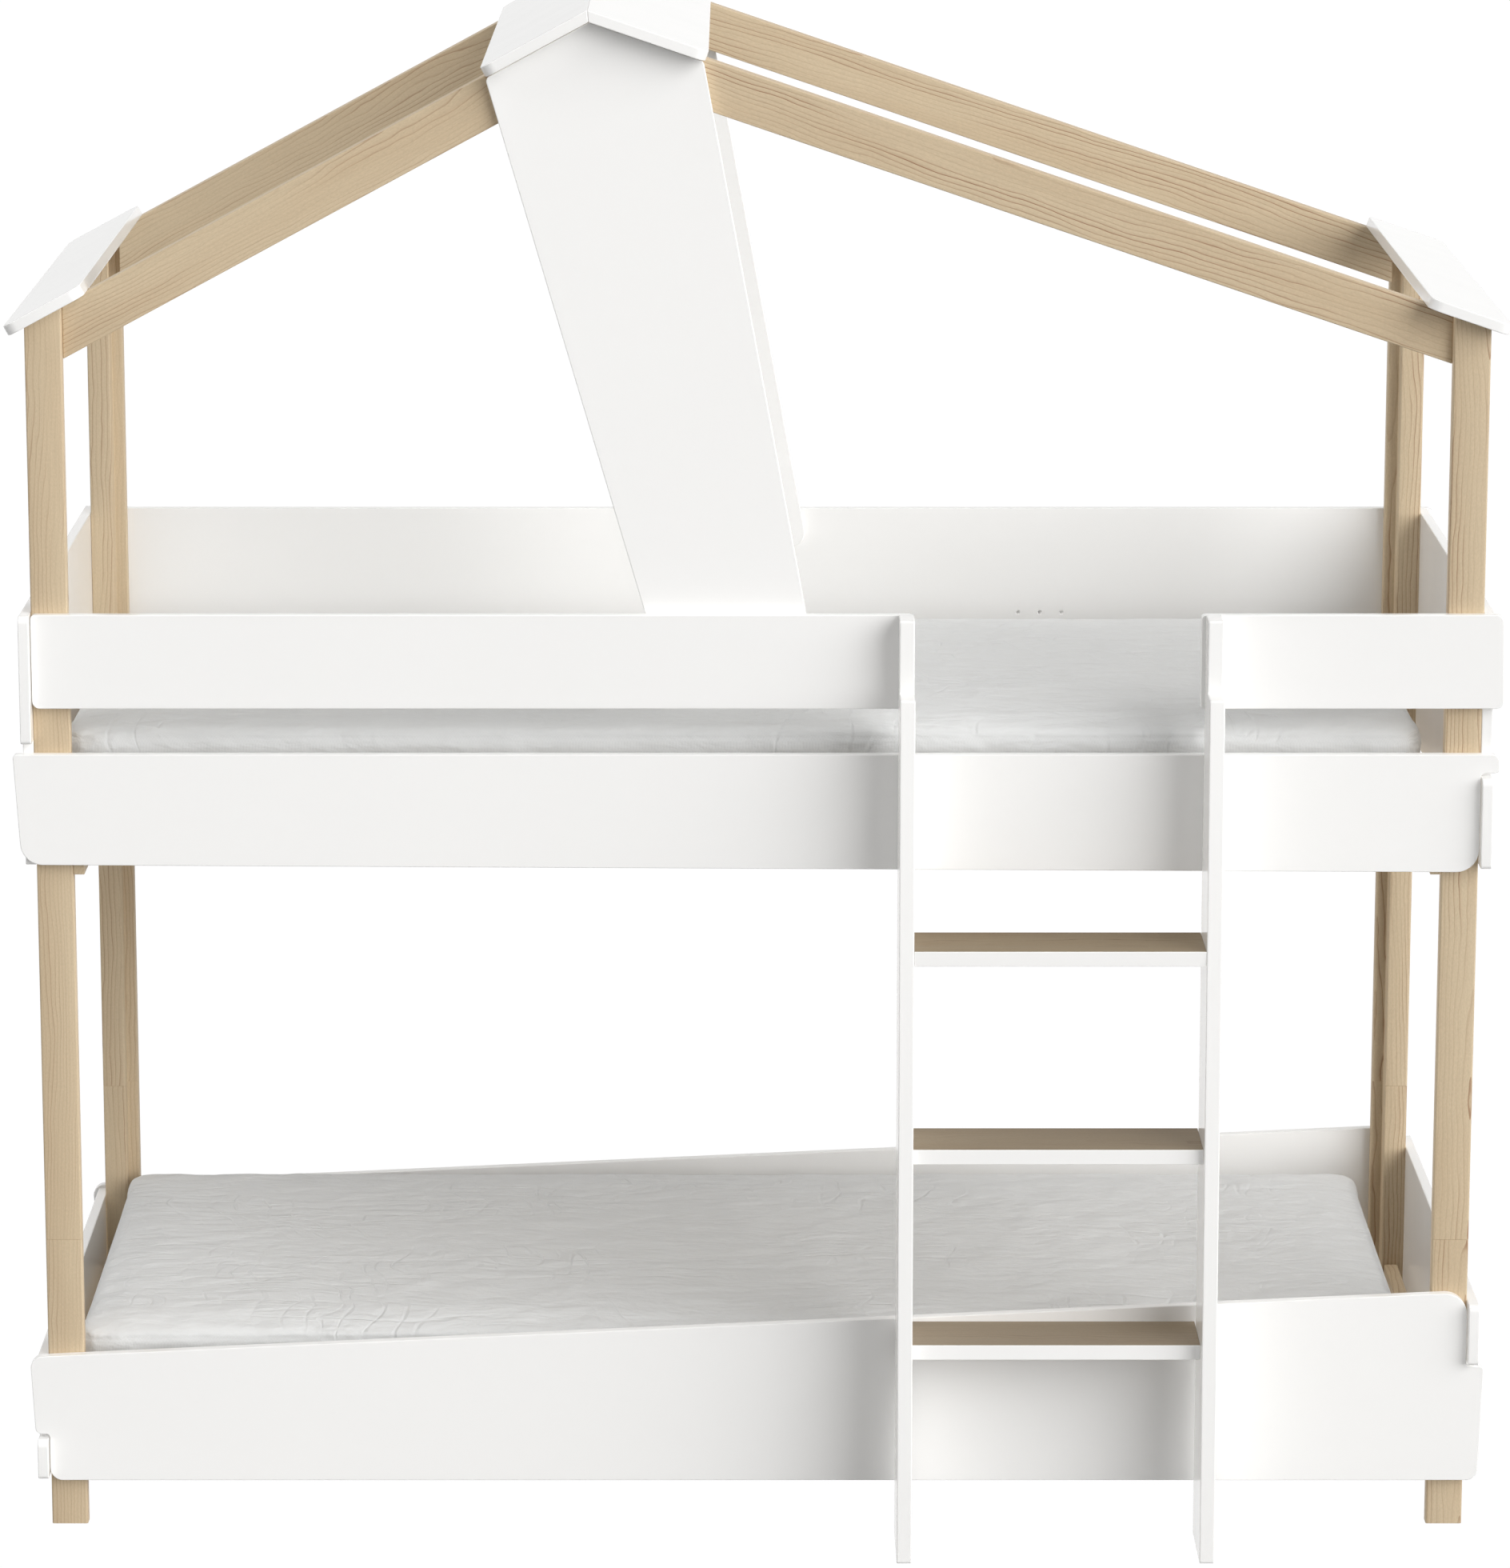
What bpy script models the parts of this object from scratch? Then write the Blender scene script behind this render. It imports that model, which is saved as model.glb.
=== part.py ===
"""Children's bunk bed with a leaning house gable, white boards and natural pine posts.

Metres, +Z up. +X runs along the bed to the right, -Y is the ladder side.
The origin is on the floor, in the middle of the whole bed with its ladder.
"""

import math

import bmesh
import bpy
from mathutils import Vector

# General clearances and board stock
BOARD = 0.016
SLIP = 0.0003
ARRIS = 0.0015
ARC_STEPS = 5
ARC_REACH_SHARE = 0.45
ARC_PROFILE_SHARE = 0.5
FACET_LIMIT = math.radians(40)
BOX_CUT_OVERRUN = 0.004

# Frame of posts
HALF_LENGTH = 1.062
DEPTH = 0.936
POST = 0.054
POST_FRONT_FLANGE = 0.024
POST_SIDE_FLANGE = 0.0365
POST_ROUNDING = 0.003
SEAM_HEIGHT = 0.4447
POST_DOWEL_RADIUS = 0.005
POST_DOWEL_LENGTH = 0.080

# Gable roof: rafters, caps and the leaning gable boards
LEFT_SLOPE = 0.539
RIGHT_SLOPE = -0.3402
RIDGE_X = -0.2424
RIDGE_HEIGHT = 2.260
RAFTER_DEPTH = 0.070
RAFTER_THICKNESS = 0.035
CAP_OVERHANG = 0.036
CAP_BACKSET = 0.024
CAP_ROUNDING = 0.020
RIDGE_CAP_LEFT = 0.148
RIDGE_CAP_RIGHT = 0.167
EAVE_CAP_LEFT = 0.112
EAVE_CAP_RIGHT = 0.119
EAVE_REACH = 0.028
GABLE_BOARD_FOOT_LEFT = -0.1452
GABLE_BOARD_FOOT_RIGHT = 0.0833
GABLE_BOARD_HEAD_LEFT = -0.3915
GABLE_BOARD_HEAD_RIGHT = -0.0778
GABLE_BOARD_ROUNDING = 0.022
GABLE_BOARD_HEAD_RADIUS = 0.008
GABLE_BOARD_GAP = 0.004

# Upper bunk boards, all set out from the top of the rail
RAIL_TOP = 1.188
RAIL_WIDTH_LEFT = 0.166
RAIL_WIDTH_RIGHT = 0.177
RAIL_BOTTOM_LEFT = RAIL_TOP - RAIL_WIDTH_LEFT
RAIL_BOTTOM_RIGHT = RAIL_TOP - RAIL_WIDTH_RIGHT
GUARD_GAP = 0.0685
GUARD_WIDTH = 0.1395
GUARD_BOTTOM = RAIL_TOP + GUARD_GAP
GUARD_TOP = GUARD_BOTTOM + GUARD_WIDTH
BACK_TOP_DROP = 0.0065
BACK_TOP = GUARD_TOP - BACK_TOP_DROP
UPPER_END_DROP = 0.169
UPPER_END_BOTTOM = RAIL_TOP - UPPER_END_DROP
GABLE_BOARD_FOOT_RISE = 0.142
GABLE_BOARD_FOOT_HEIGHT = RAIL_TOP + GABLE_BOARD_FOOT_RISE

# Lower bunk boards, all set out from the bottom of the long boards
LOWER_PANEL_BOTTOM = 0.0735
FRONT_PANEL_WIDTHS = (0.1930, 0.2935)
BACK_PANEL_WIDTHS = (0.1885, 0.2880)
LOWER_END_RISE = 0.0065
LEFT_END_WIDTHS = (0.184, 0.178)
RIGHT_END_WIDTHS = (0.271, 0.260)

# Interlocking corners, where long boards and end boards cross
FINGER_REACH = 0.014
GUARD_LEAN = 0.003
STRIP_BACKSET = 0.004
RAIL_LEAN = 0.010
LOWER_TOP_BACKSET = 0.004
LOWER_LEAN = 0.006
FINGER_PROUD = 0.016
FINGER_CLEARANCE = 0.006
END_BACKSET = 0.001
SMALL_RADIUS = 0.006
FINGER_RADIUS = 0.011
BOARD_RADIUS = 0.018
CORNER_RADIUS = 0.033
UPPER_LEFT_FINGER_RISE = 0.018
RIGHT_RAIL_FINGER_WIDTH = 0.028
LOWER_LEFT_FINGER_RISE = 0.0725
LOWER_RIGHT_FINGER_WIDTH = 0.1785
UPPER_LEFT_FINGER_BOTTOM = RAIL_TOP + UPPER_LEFT_FINGER_RISE
RIGHT_RAIL_FINGER_BOTTOM = RAIL_TOP - RIGHT_RAIL_FINGER_WIDTH
LOWER_LEFT_FINGER_BOTTOM = LOWER_PANEL_BOTTOM + LOWER_LEFT_FINGER_RISE
LOWER_RIGHT_FINGER_TOP = LOWER_PANEL_BOTTOM + LOWER_RIGHT_FINGER_WIDTH

# Pilot holes in the upper back board
PILOT_RADIUS = 0.003
PILOT_RISE = 0.0315
PILOT_HEIGHT = RAIL_TOP + PILOT_RISE
PILOT_FIRST_X = 0.423
PILOT_PITCH = 0.035
PILOT_COUNT = 3
PILOT_SIDES = 12
PILOT_DEPTH = 0.011

# Ladder
LADDER_INSIDE_LEFT = 0.228
LADDER_INSIDE_RIGHT = 0.654
STILE = 0.022
LADDER_RISE = 0.002
LADDER_TOP = GUARD_TOP + LADDER_RISE
LADDER_HEAD_REACH = 0.072
LADDER_HEAD_HEIGHT = 0.108
LADDER_LEDGE_HEIGHT = LADDER_TOP - LADDER_HEAD_HEIGHT
LADDER_LEDGE_REACH = 0.121
LADDER_FOOT_REACH = 0.184
LADDER_FOOT_BACK = 0.045
LADDER_RADIUS = 0.004
TREAD = 0.022
TREAD_DEPTH = 0.1215
TREAD_BACKSET = SLIP
FIRST_TREAD_TOP = 0.3228
TREAD_PITCH = 0.2989
TREAD_COUNT = 3
BOLT_RADIUS = 0.003
BOLT_HEAD_RADIUS = 0.008
BOLT_HEAD_THICKNESS = 0.003
BOLT_GRIP = 0.046
BOLT_DROPS = (0.066, 0.038)
BOLT_HEIGHTS = (GUARD_TOP - BOLT_DROPS[0], RAIL_TOP - BOLT_DROPS[1])
BOLT_HOLE_GAP = 0.0003

# Slatted bases and what carries them
SLAT = 0.018
SLAT_WIDTH = 0.080
SLAT_COUNT = 14
SLAT_BASE_END_GAP = 0.024
SLAT_END_GAP = 0.002
WEBBING = 0.002
WEBBING_WIDTH = 0.025
WEBBING_INSET = 0.180
LEDGER = 0.030
LEDGER_HEIGHT = 0.040
END_RAIL = 0.022
END_RAIL_HEIGHT = 0.045
END_RAIL_RISE = 0.0695
END_RAIL_TOP = LOWER_PANEL_BOTTOM + END_RAIL_RISE
END_RAIL_BACKSET = 0.0095
END_RAIL_RADIUS = 0.005
CROSS_BOARD_DROP = 0.184
CROSS_BOARD_BOTTOM = RAIL_TOP - CROSS_BOARD_DROP
UPPER_SLAT_DROP = 0.085
UPPER_SLAT_TOP = RAIL_TOP - UPPER_SLAT_DROP
LOWER_SLAT_RISE = 0.1065
LOWER_SLAT_TOP = LOWER_PANEL_BOTTOM + LOWER_SLAT_RISE

# Mattresses, pushed against the left ends as they lie
MATTRESS_END_GAPS = (0.031, 0.072)
MATTRESS_SIDE_GAP = 0.026
MATTRESS_HEIGHT = 0.114
MATTRESS_CROWN = 0.006
MATTRESS_CORNER = 0.050
MATTRESS_EDGE = 0.016
MATTRESS_DRAWN_IN = 0.005
MATTRESS_LONG_STEPS = 14
MATTRESS_SHORT_STEPS = 8
MATTRESS_CORNER_STEPS = 4
EDGE_STEPS = 3
SIDE_STEPS = 3
CROWN_POWER = 4
CROWN_SHARES = (0.95, 0.86, 0.72, 0.45)

# Places that follow from the sizes above
FRONT = -(DEPTH + BOARD + FINGER_PROUD - LADDER_FOOT_REACH) / 2
BACK = FRONT + DEPTH
END_FACE = HALF_LENGTH + BOARD
FINGER_END = END_FACE + FINGER_REACH
POST_INSIDE = HALF_LENGTH - POST
SOFT_INSIDE = HALF_LENGTH - POST_SIDE_FLANGE
SLAT_BASE_LENGTH = 2 * (POST_INSIDE - SLAT_BASE_END_GAP)
MATTRESS_LENGTH = 2 * HALF_LENGTH - sum(MATTRESS_END_GAPS)
MATTRESS_WIDTH = DEPTH - 2 * MATTRESS_SIDE_GAP
LEFT_COSINE = 1 / math.hypot(1, LEFT_SLOPE)
RIGHT_COSINE = 1 / math.hypot(1, RIGHT_SLOPE)

SIDES = {"left": -1, "right": 1}


def clear_scene():
    for thing in list(bpy.data.objects):
        bpy.data.objects.remove(thing)


def finish(name, colour, roughness, metallic=0.0):
    material = bpy.data.materials.new(name)
    material.use_nodes = True
    shader = material.node_tree.nodes["Principled BSDF"]
    shader.inputs["Base Color"].default_value = (*colour, 1.0)
    shader.inputs["Roughness"].default_value = roughness
    shader.inputs["Metallic"].default_value = metallic
    return material


def rounded(corners):
    """An outline whose corners (a, b, radius) are turned into arcs."""
    outline = []
    count = len(corners)
    for index, (a, b, radius) in enumerate(corners):
        corner = Vector((a, b))
        before = Vector(corners[index - 1][:2]) - corner
        after = Vector(corners[(index + 1) % count][:2]) - corner
        half = before.angle(after) / 2
        longest = ARC_REACH_SHARE * min(before.length, after.length)
        reach = min(radius / math.tan(half), longest)
        if reach <= 0:
            outline.append((a, b))
            continue
        radius = reach * math.tan(half)
        start = corner + before.normalized() * reach
        end = corner + after.normalized() * reach
        centre = corner + (before.normalized() + after.normalized()).normalized() * radius / math.sin(half)
        first = math.atan2(start.y - centre.y, start.x - centre.x)
        last = math.atan2(end.y - centre.y, end.x - centre.x)
        turn = (last - first + math.pi) % math.tau - math.pi
        steps = max(2, round(ARC_STEPS * abs(turn) / (math.pi / 2)))
        for step in range(steps + 1):
            angle = first + turn * step / steps
            outline.append((centre.x + radius * math.cos(angle), centre.y + radius * math.sin(angle)))
    return outline


def place(along, first, second, level):
    """A point whose outline coordinates lie across the axis named by along."""
    if along == "X":
        return (level, first, second)
    if along == "Y":
        return (first, level, second)
    return (first, second, level)


def add_object(name, mesh_data, material):
    """An object whose own origin is the middle of its lowest level."""
    bmesh.ops.recalc_face_normals(mesh_data, faces=mesh_data.faces)
    places = [vertex.co for vertex in mesh_data.verts]
    low = Vector([min(place[axis] for place in places) for axis in range(3)])
    high = Vector([max(place[axis] for place in places) for axis in range(3)])
    origin = (low + high) / 2
    origin.z = low.z
    bmesh.ops.translate(mesh_data, verts=mesh_data.verts, vec=-origin)
    mesh = bpy.data.meshes.new(name)
    mesh_data.to_mesh(mesh)
    mesh_data.free()
    mesh.materials.append(material)
    piece = bpy.data.objects.new(name, mesh)
    piece.location = origin
    bpy.context.collection.objects.link(piece)
    return piece


def hide_tool(tool, piece):
    """Keep a cutter or a joined shape out of sight, moving with its piece."""
    tool.hide_render = True
    tool.display_type = "WIRE"
    tool.parent = piece
    tool.location -= piece.location


def smooth(piece):
    """Shade the round faces as curved and keep the real edges sharp."""
    piece.data.shade_smooth()
    piece.data.set_sharp_from_angle(angle=FACET_LIMIT)
    return piece


def gather(name):
    """Hang the pieces that have no parent yet under an empty of their own."""
    holder = bpy.data.objects.new(name, None)
    bpy.context.collection.objects.link(holder)
    for piece in bpy.data.objects:
        if piece.type == "MESH" and piece.parent is None:
            piece.parent = holder


def add_arris(piece, width=ARRIS):
    """Break the sharp edges of a board, but not the steps of its round corners."""
    bevel = piece.modifiers.new("arris", "BEVEL")
    bevel.width = width
    bevel.segments = 1
    bevel.limit_method = "ANGLE"
    bevel.angle_limit = FACET_LIMIT
    return piece


def prism(outline, along, low, high):
    """A closed prism of an outline between two levels, as mesh data."""
    data = bmesh.new()
    ends = []
    for level in (low, high):
        ends.append([data.verts.new(place(along, a, b, level)) for a, b in outline])
    data.faces.new(ends[0])
    data.faces.new(list(reversed(ends[1])))
    count = len(outline)
    for index in range(count):
        following = (index + 1) % count
        data.faces.new((ends[0][index], ends[1][index], ends[1][following], ends[0][following]))
    return data


def board(name, outline, along, low, high, material, arris=ARRIS):
    piece = add_object(name, prism(outline, along, low, high), material)
    return add_arris(piece, arris)


def block(name, low, high, material, arris=ARRIS):
    outline = [(low[0], low[1]), (high[0], low[1]), (high[0], high[1]), (low[0], high[1])]
    return board(name, outline, "Z", low[2], high[2], material, arris)


def round_bar(name, centre, along, low, high, radius, material, sides=16):
    """A turned bar whose outline is a regular polygon around its axis."""
    outline = []
    for step in range(sides):
        angle = math.tau * step / sides
        outline.append((centre[0] + radius * math.cos(angle), centre[1] + radius * math.sin(angle)))
    return smooth(add_object(name, prism(outline, along, low, high), material))


def drill(piece, name, centre, along, low, high, radius, sides=16):
    """Cut a round hole with a hidden cutter."""
    cutter = round_bar(name, centre, along, low, high, radius, piece.data.materials[0], sides)
    cut = piece.modifiers.new(name, "BOOLEAN")
    cut.operation = "DIFFERENCE"
    cut.solver = "EXACT"
    cut.object = cutter
    hide_tool(cutter, piece)


def roof_height(x):
    """Height of the line on which the caps lie, at a place along the bed."""
    if x < RIDGE_X:
        return RIDGE_HEIGHT + LEFT_SLOPE * (x - RIDGE_X)
    return RIDGE_HEIGHT + RIGHT_SLOPE * (x - RIDGE_X)


def slope_drop(side, thickness):
    """Vertical thickness of a sloping piece."""
    if side == "left":
        return thickness / LEFT_COSINE
    return thickness / RIGHT_COSINE


def between(face, offset, thickness):
    """Two levels along Y of a piece set in from the front or the back posts' outer face."""
    if face == "front":
        return FRONT + offset, FRONT + offset + thickness
    return BACK - offset - thickness, BACK - offset


def post_outline(side, face):
    """L-shaped section with the rebate at the corner that faces the mattress."""
    sign = SIDES[side]
    outer = sign * HALF_LENGTH
    shoulder = sign * SOFT_INSIDE
    inner = sign * POST_INSIDE
    if face == "front":
        outside, step, inside = FRONT, FRONT + POST_FRONT_FLANGE, FRONT + POST
    else:
        outside, step, inside = BACK, BACK - POST_FRONT_FLANGE, BACK - POST
    corners = [
        (outer, outside, POST_ROUNDING),
        (inner, outside, POST_ROUNDING),
        (inner, step, POST_ROUNDING),
        (shoulder, step, 0),
        (shoulder, inside, POST_ROUNDING),
        (outer, inside, POST_ROUNDING),
    ]
    return rounded(corners)


def build_post(side, face, pine):
    """A post in two lengths, doweled together above the lower bunk."""
    sign = SIDES[side]
    outline = post_outline(side, face)
    lower = board(f"lower_post_{face}_{side}", outline, "Z", 0, SEAM_HEIGHT - SLIP / 2, pine)
    data = prism(outline, "Z", SEAM_HEIGHT + SLIP / 2, GUARD_TOP)
    for vertex in data.verts:
        if vertex.co.z > SEAM_HEIGHT + SLIP:
            vertex.co.z = roof_height(vertex.co.x) - SLIP
    upper = add_arris(add_object(f"upper_post_{face}_{side}", data, pine))
    centre_x = sign * (HALF_LENGTH - POST_SIDE_FLANGE / 2)
    centre_y = sum(between(face, POST / 2, 0)) / 2
    centre = (centre_x, centre_y)
    low = SEAM_HEIGHT - POST_DOWEL_LENGTH / 2
    high = SEAM_HEIGHT + POST_DOWEL_LENGTH / 2
    socket = POST_DOWEL_RADIUS + SLIP
    drill(lower, f"socket_low_{face}_{side}", centre, "Z", low - SLIP, high, socket)
    drill(upper, f"socket_high_{face}_{side}", centre, "Z", low, high + SLIP, socket)
    round_bar(f"post_dowel_{face}_{side}", centre, "Z", low, high, POST_DOWEL_RADIUS, pine)


def build_rafters(face, pine):
    """Two rafters butted between the posts and mitred at the ridge, set in by the gable board."""
    low, high = between(face, BOARD + 2 * SLIP, RAFTER_THICKNESS)
    foot_x = POST_INSIDE - SLIP
    left_drop = slope_drop("left", RAFTER_DEPTH)
    right_drop = slope_drop("right", RAFTER_DEPTH)
    under_x = RIDGE_X + (left_drop - right_drop) / (LEFT_SLOPE - RIGHT_SLOPE)
    under_height = RIDGE_HEIGHT - left_drop + LEFT_SLOPE * (under_x - RIDGE_X)
    left = [
        (-foot_x, roof_height(-foot_x) - SLIP),
        (RIDGE_X - SLIP, RIDGE_HEIGHT - SLIP),
        (under_x - SLIP, under_height),
        (-foot_x, roof_height(-foot_x) - left_drop),
    ]
    right = [
        (RIDGE_X + SLIP, RIDGE_HEIGHT - SLIP),
        (foot_x, roof_height(foot_x) - SLIP),
        (foot_x, roof_height(foot_x) - right_drop),
        (under_x + SLIP, under_height),
    ]
    board(f"rafter_{face}_left", left, "Y", low, high, pine)
    board(f"rafter_{face}_right", right, "Y", low, high, pine)


def round_plan_corners(data, x):
    """Round the two plan corners of a cap at its end that lies near x."""
    def at_end(edge):
        middle = (edge.verts[0].co + edge.verts[1].co) / 2
        level = abs(edge.verts[0].co.y - edge.verts[1].co.y) < SLIP
        short = edge.calc_length() < 2 * BOARD
        return level and short and abs(middle.x - x) < BOARD
    edges = [edge for edge in data.edges if at_end(edge)]
    bmesh.ops.bevel(
        data,
        geom=edges,
        offset=CAP_ROUNDING,
        segments=ARC_STEPS,
        profile=ARC_PROFILE_SHARE,
        affect="EDGES",
    )


def mitre_top():
    """Where the upper faces of the two ridge plates meet."""
    left_rise = slope_drop("left", BOARD)
    right_rise = slope_drop("right", BOARD)
    shift = (right_rise - left_rise) / (LEFT_SLOPE - RIGHT_SLOPE)
    return RIDGE_X + shift, RIDGE_HEIGHT + left_rise + LEFT_SLOPE * shift


def sloped_cap(name, side, low_x, high_x, rounded_ends, material):
    """A white plate that lies on the roof line from front to back."""
    cosine = LEFT_COSINE if side == "left" else RIGHT_COSINE
    slope = LEFT_SLOPE if side == "left" else RIGHT_SLOPE
    lean = -slope * cosine * BOARD
    rise = cosine * BOARD
    outline = [
        (low_x, roof_height(low_x)),
        (high_x, roof_height(high_x)),
        (high_x + lean, roof_height(high_x) + rise),
        (low_x + lean, roof_height(low_x) + rise),
    ]
    mitre_x, mitre_height = mitre_top()
    if high_x == RIDGE_X:
        outline[1] = (RIDGE_X - SLIP / 2, RIDGE_HEIGHT)
        outline[2] = (mitre_x - SLIP / 2, mitre_height)
    if low_x == RIDGE_X:
        outline[0] = (RIDGE_X + SLIP / 2, RIDGE_HEIGHT)
        outline[3] = (mitre_x + SLIP / 2, mitre_height)
    data = prism(outline, "Y", FRONT - CAP_OVERHANG, BACK - CAP_BACKSET)
    for x in rounded_ends:
        round_plan_corners(data, x)
    return add_arris(add_object(name, data, material))


def build_caps(white):
    """The ridge is covered by two mitred plates and each eave by one."""
    ridge_left = RIDGE_X - RIDGE_CAP_LEFT
    ridge_right = RIDGE_X + RIDGE_CAP_RIGHT
    sloped_cap("ridge_cap_left", "left", ridge_left, RIDGE_X, [ridge_left], white)
    sloped_cap("ridge_cap_right", "right", RIDGE_X, ridge_right, [ridge_right], white)
    left_out = -HALF_LENGTH - EAVE_REACH + BOARD * LEFT_SLOPE * LEFT_COSINE
    right_out = HALF_LENGTH + EAVE_REACH + BOARD * RIGHT_SLOPE * RIGHT_COSINE
    left_in = left_out + EAVE_CAP_LEFT
    right_in = right_out - EAVE_CAP_RIGHT
    sloped_cap("eave_cap_left", "left", left_out, left_in, [left_out, left_in], white)
    sloped_cap("eave_cap_right", "right", right_in, right_out, [right_in, right_out], white)


def build_gable_board(face, white):
    """A leaning board from behind the guard's height up to the ridge, wider at its head."""
    low, high = between(face, SLIP, BOARD)
    head_left = roof_height(GABLE_BOARD_HEAD_LEFT) - GABLE_BOARD_GAP
    head_right = roof_height(GABLE_BOARD_HEAD_RIGHT) - GABLE_BOARD_GAP
    corners = [
        (GABLE_BOARD_FOOT_LEFT, GABLE_BOARD_FOOT_HEIGHT, GABLE_BOARD_ROUNDING),
        (GABLE_BOARD_FOOT_RIGHT, GABLE_BOARD_FOOT_HEIGHT, GABLE_BOARD_ROUNDING),
        (GABLE_BOARD_HEAD_RIGHT, head_right, GABLE_BOARD_HEAD_RADIUS),
        (RIDGE_X, RIDGE_HEIGHT - GABLE_BOARD_GAP, 0),
        (GABLE_BOARD_HEAD_LEFT, head_left, GABLE_BOARD_HEAD_RADIUS),
    ]
    board(f"gable_board_{face}", rounded(corners), "Y", low, high, white)


def rail_corners():
    """The long board under the upper mattress, seen from the front, from its lower left corner."""
    end = HALF_LENGTH - END_BACKSET
    return [
        (-FINGER_END + RAIL_LEAN, RAIL_BOTTOM_LEFT, CORNER_RADIUS),
        (end, RAIL_BOTTOM_RIGHT, CORNER_RADIUS),
        (end, RIGHT_RAIL_FINGER_BOTTOM, SMALL_RADIUS),
        (FINGER_END - STRIP_BACKSET, RIGHT_RAIL_FINGER_BOTTOM, SMALL_RADIUS),
        (FINGER_END - STRIP_BACKSET, RAIL_TOP, FINGER_RADIUS),
        (-FINGER_END, RAIL_TOP, SMALL_RADIUS),
    ]


def lower_panel_corners(left_width, right_width):
    """The long board of the lower bunk, seen from the front, from its lower left corner."""
    top_left = LOWER_PANEL_BOTTOM + left_width
    top_right = LOWER_PANEL_BOTTOM + right_width
    end = HALF_LENGTH - END_BACKSET
    reach = FINGER_END - LOWER_TOP_BACKSET
    return [
        (-end, LOWER_PANEL_BOTTOM, BOARD_RADIUS),
        (reach - LOWER_LEAN, LOWER_PANEL_BOTTOM, BOARD_RADIUS),
        (reach, LOWER_RIGHT_FINGER_TOP, SMALL_RADIUS),
        (end, LOWER_RIGHT_FINGER_TOP, SMALL_RADIUS),
        (end, top_right, CORNER_RADIUS),
        (-reach, top_left, BOARD_RADIUS),
        (-reach + LOWER_LEAN, LOWER_LEFT_FINGER_BOTTOM, FINGER_RADIUS),
        (-end, LOWER_LEFT_FINGER_BOTTOM, SMALL_RADIUS),
    ]


def build_long_boards(white):
    """Front and back boards, outside the posts."""
    front = between("front", -BOARD, BOARD)
    back = between("back", -BOARD, BOARD)
    rail = board("upper_front_rail", rounded(rail_corners()), "Y", *front, white)
    end = HALF_LENGTH - END_BACKSET
    back_corners = [
        (-FINGER_END + RAIL_LEAN, RAIL_BOTTOM_LEFT, CORNER_RADIUS),
        (end, RAIL_BOTTOM_RIGHT, CORNER_RADIUS),
        (end, RIGHT_RAIL_FINGER_BOTTOM, SMALL_RADIUS),
        (FINGER_END, RIGHT_RAIL_FINGER_BOTTOM, SMALL_RADIUS),
        (FINGER_END - GUARD_LEAN, BACK_TOP, FINGER_RADIUS),
        (-end, BACK_TOP, SMALL_RADIUS),
        (-end, RAIL_TOP, SMALL_RADIUS),
        (-FINGER_END, RAIL_TOP, SMALL_RADIUS),
    ]
    upper_back = board("upper_back_panel", rounded(back_corners), "Y", *back, white)
    for index in range(PILOT_COUNT):
        centre = (PILOT_FIRST_X + PILOT_PITCH * index, PILOT_HEIGHT)
        cut_from, cut_to = back[0] - BOX_CUT_OVERRUN, back[0] + PILOT_DEPTH
        drill(upper_back, f"pilot_{index}", centre, "Y", cut_from, cut_to, PILOT_RADIUS, PILOT_SIDES)
    board("lower_front_panel", rounded(lower_panel_corners(*FRONT_PANEL_WIDTHS)), "Y", *front, white)
    board("lower_back_panel", rounded(lower_panel_corners(*BACK_PANEL_WIDTHS)), "Y", *back, white)
    left_corners = [
        (-end, GUARD_BOTTOM, FINGER_RADIUS),
        (LADDER_INSIDE_LEFT - END_BACKSET, GUARD_BOTTOM, SMALL_RADIUS),
        (LADDER_INSIDE_LEFT - END_BACKSET, GUARD_TOP, SMALL_RADIUS),
        (-end, GUARD_TOP, SMALL_RADIUS),
    ]
    right_corners = [
        (LADDER_INSIDE_RIGHT - FINGER_CLEARANCE, GUARD_BOTTOM, SMALL_RADIUS),
        (FINGER_END, GUARD_BOTTOM, FINGER_RADIUS),
        (FINGER_END - GUARD_LEAN, GUARD_TOP, FINGER_RADIUS),
        (LADDER_INSIDE_RIGHT - FINGER_CLEARANCE, GUARD_TOP, SMALL_RADIUS),
    ]
    guard_left = board("guard_left", rounded(left_corners), "Y", *front, white)
    guard_right = board("guard_right", rounded(right_corners), "Y", *front, white)
    return rail, guard_left, guard_right


def end_board(name, side, bottom, widths, fingers, white):
    """An end board outside the posts; its fingers pass the long boards at front and back.

    widths holds the board's height at front and back. Each finger is a range of heights.
    """
    sign = SIDES[side]
    recess_front = FRONT + SLIP
    recess_back = BACK - SLIP
    reach = BOARD + FINGER_PROUD
    top_front, top_back = bottom + widths[0], bottom + widths[1]
    low, high = fingers
    low = max(low, bottom)
    front_high = min(high, top_front)
    back_high = min(high, top_back)
    corners = []
    if low > bottom:
        corners.append((recess_front, bottom, 0))
        corners.append((recess_back, bottom, 0))
        corners.append((recess_back, low, 0))
    corners.append((BACK + reach, low, SMALL_RADIUS))
    corners.append((BACK + reach, back_high, FINGER_RADIUS))
    if back_high < top_back:
        corners.append((recess_back, back_high, 0))
        corners.append((recess_back, top_back, 0))
    if front_high < top_front:
        corners.append((recess_front, top_front, 0))
        corners.append((recess_front, front_high, 0))
    corners.append((FRONT - reach, front_high, FINGER_RADIUS))
    corners.append((FRONT - reach, low, SMALL_RADIUS))
    if low > bottom:
        corners.append((recess_front, low, 0))
    faces = sorted((sign * (HALF_LENGTH + SLIP), sign * END_FACE))
    return board(name, rounded(corners), "X", faces[0], faces[1], white)


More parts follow.
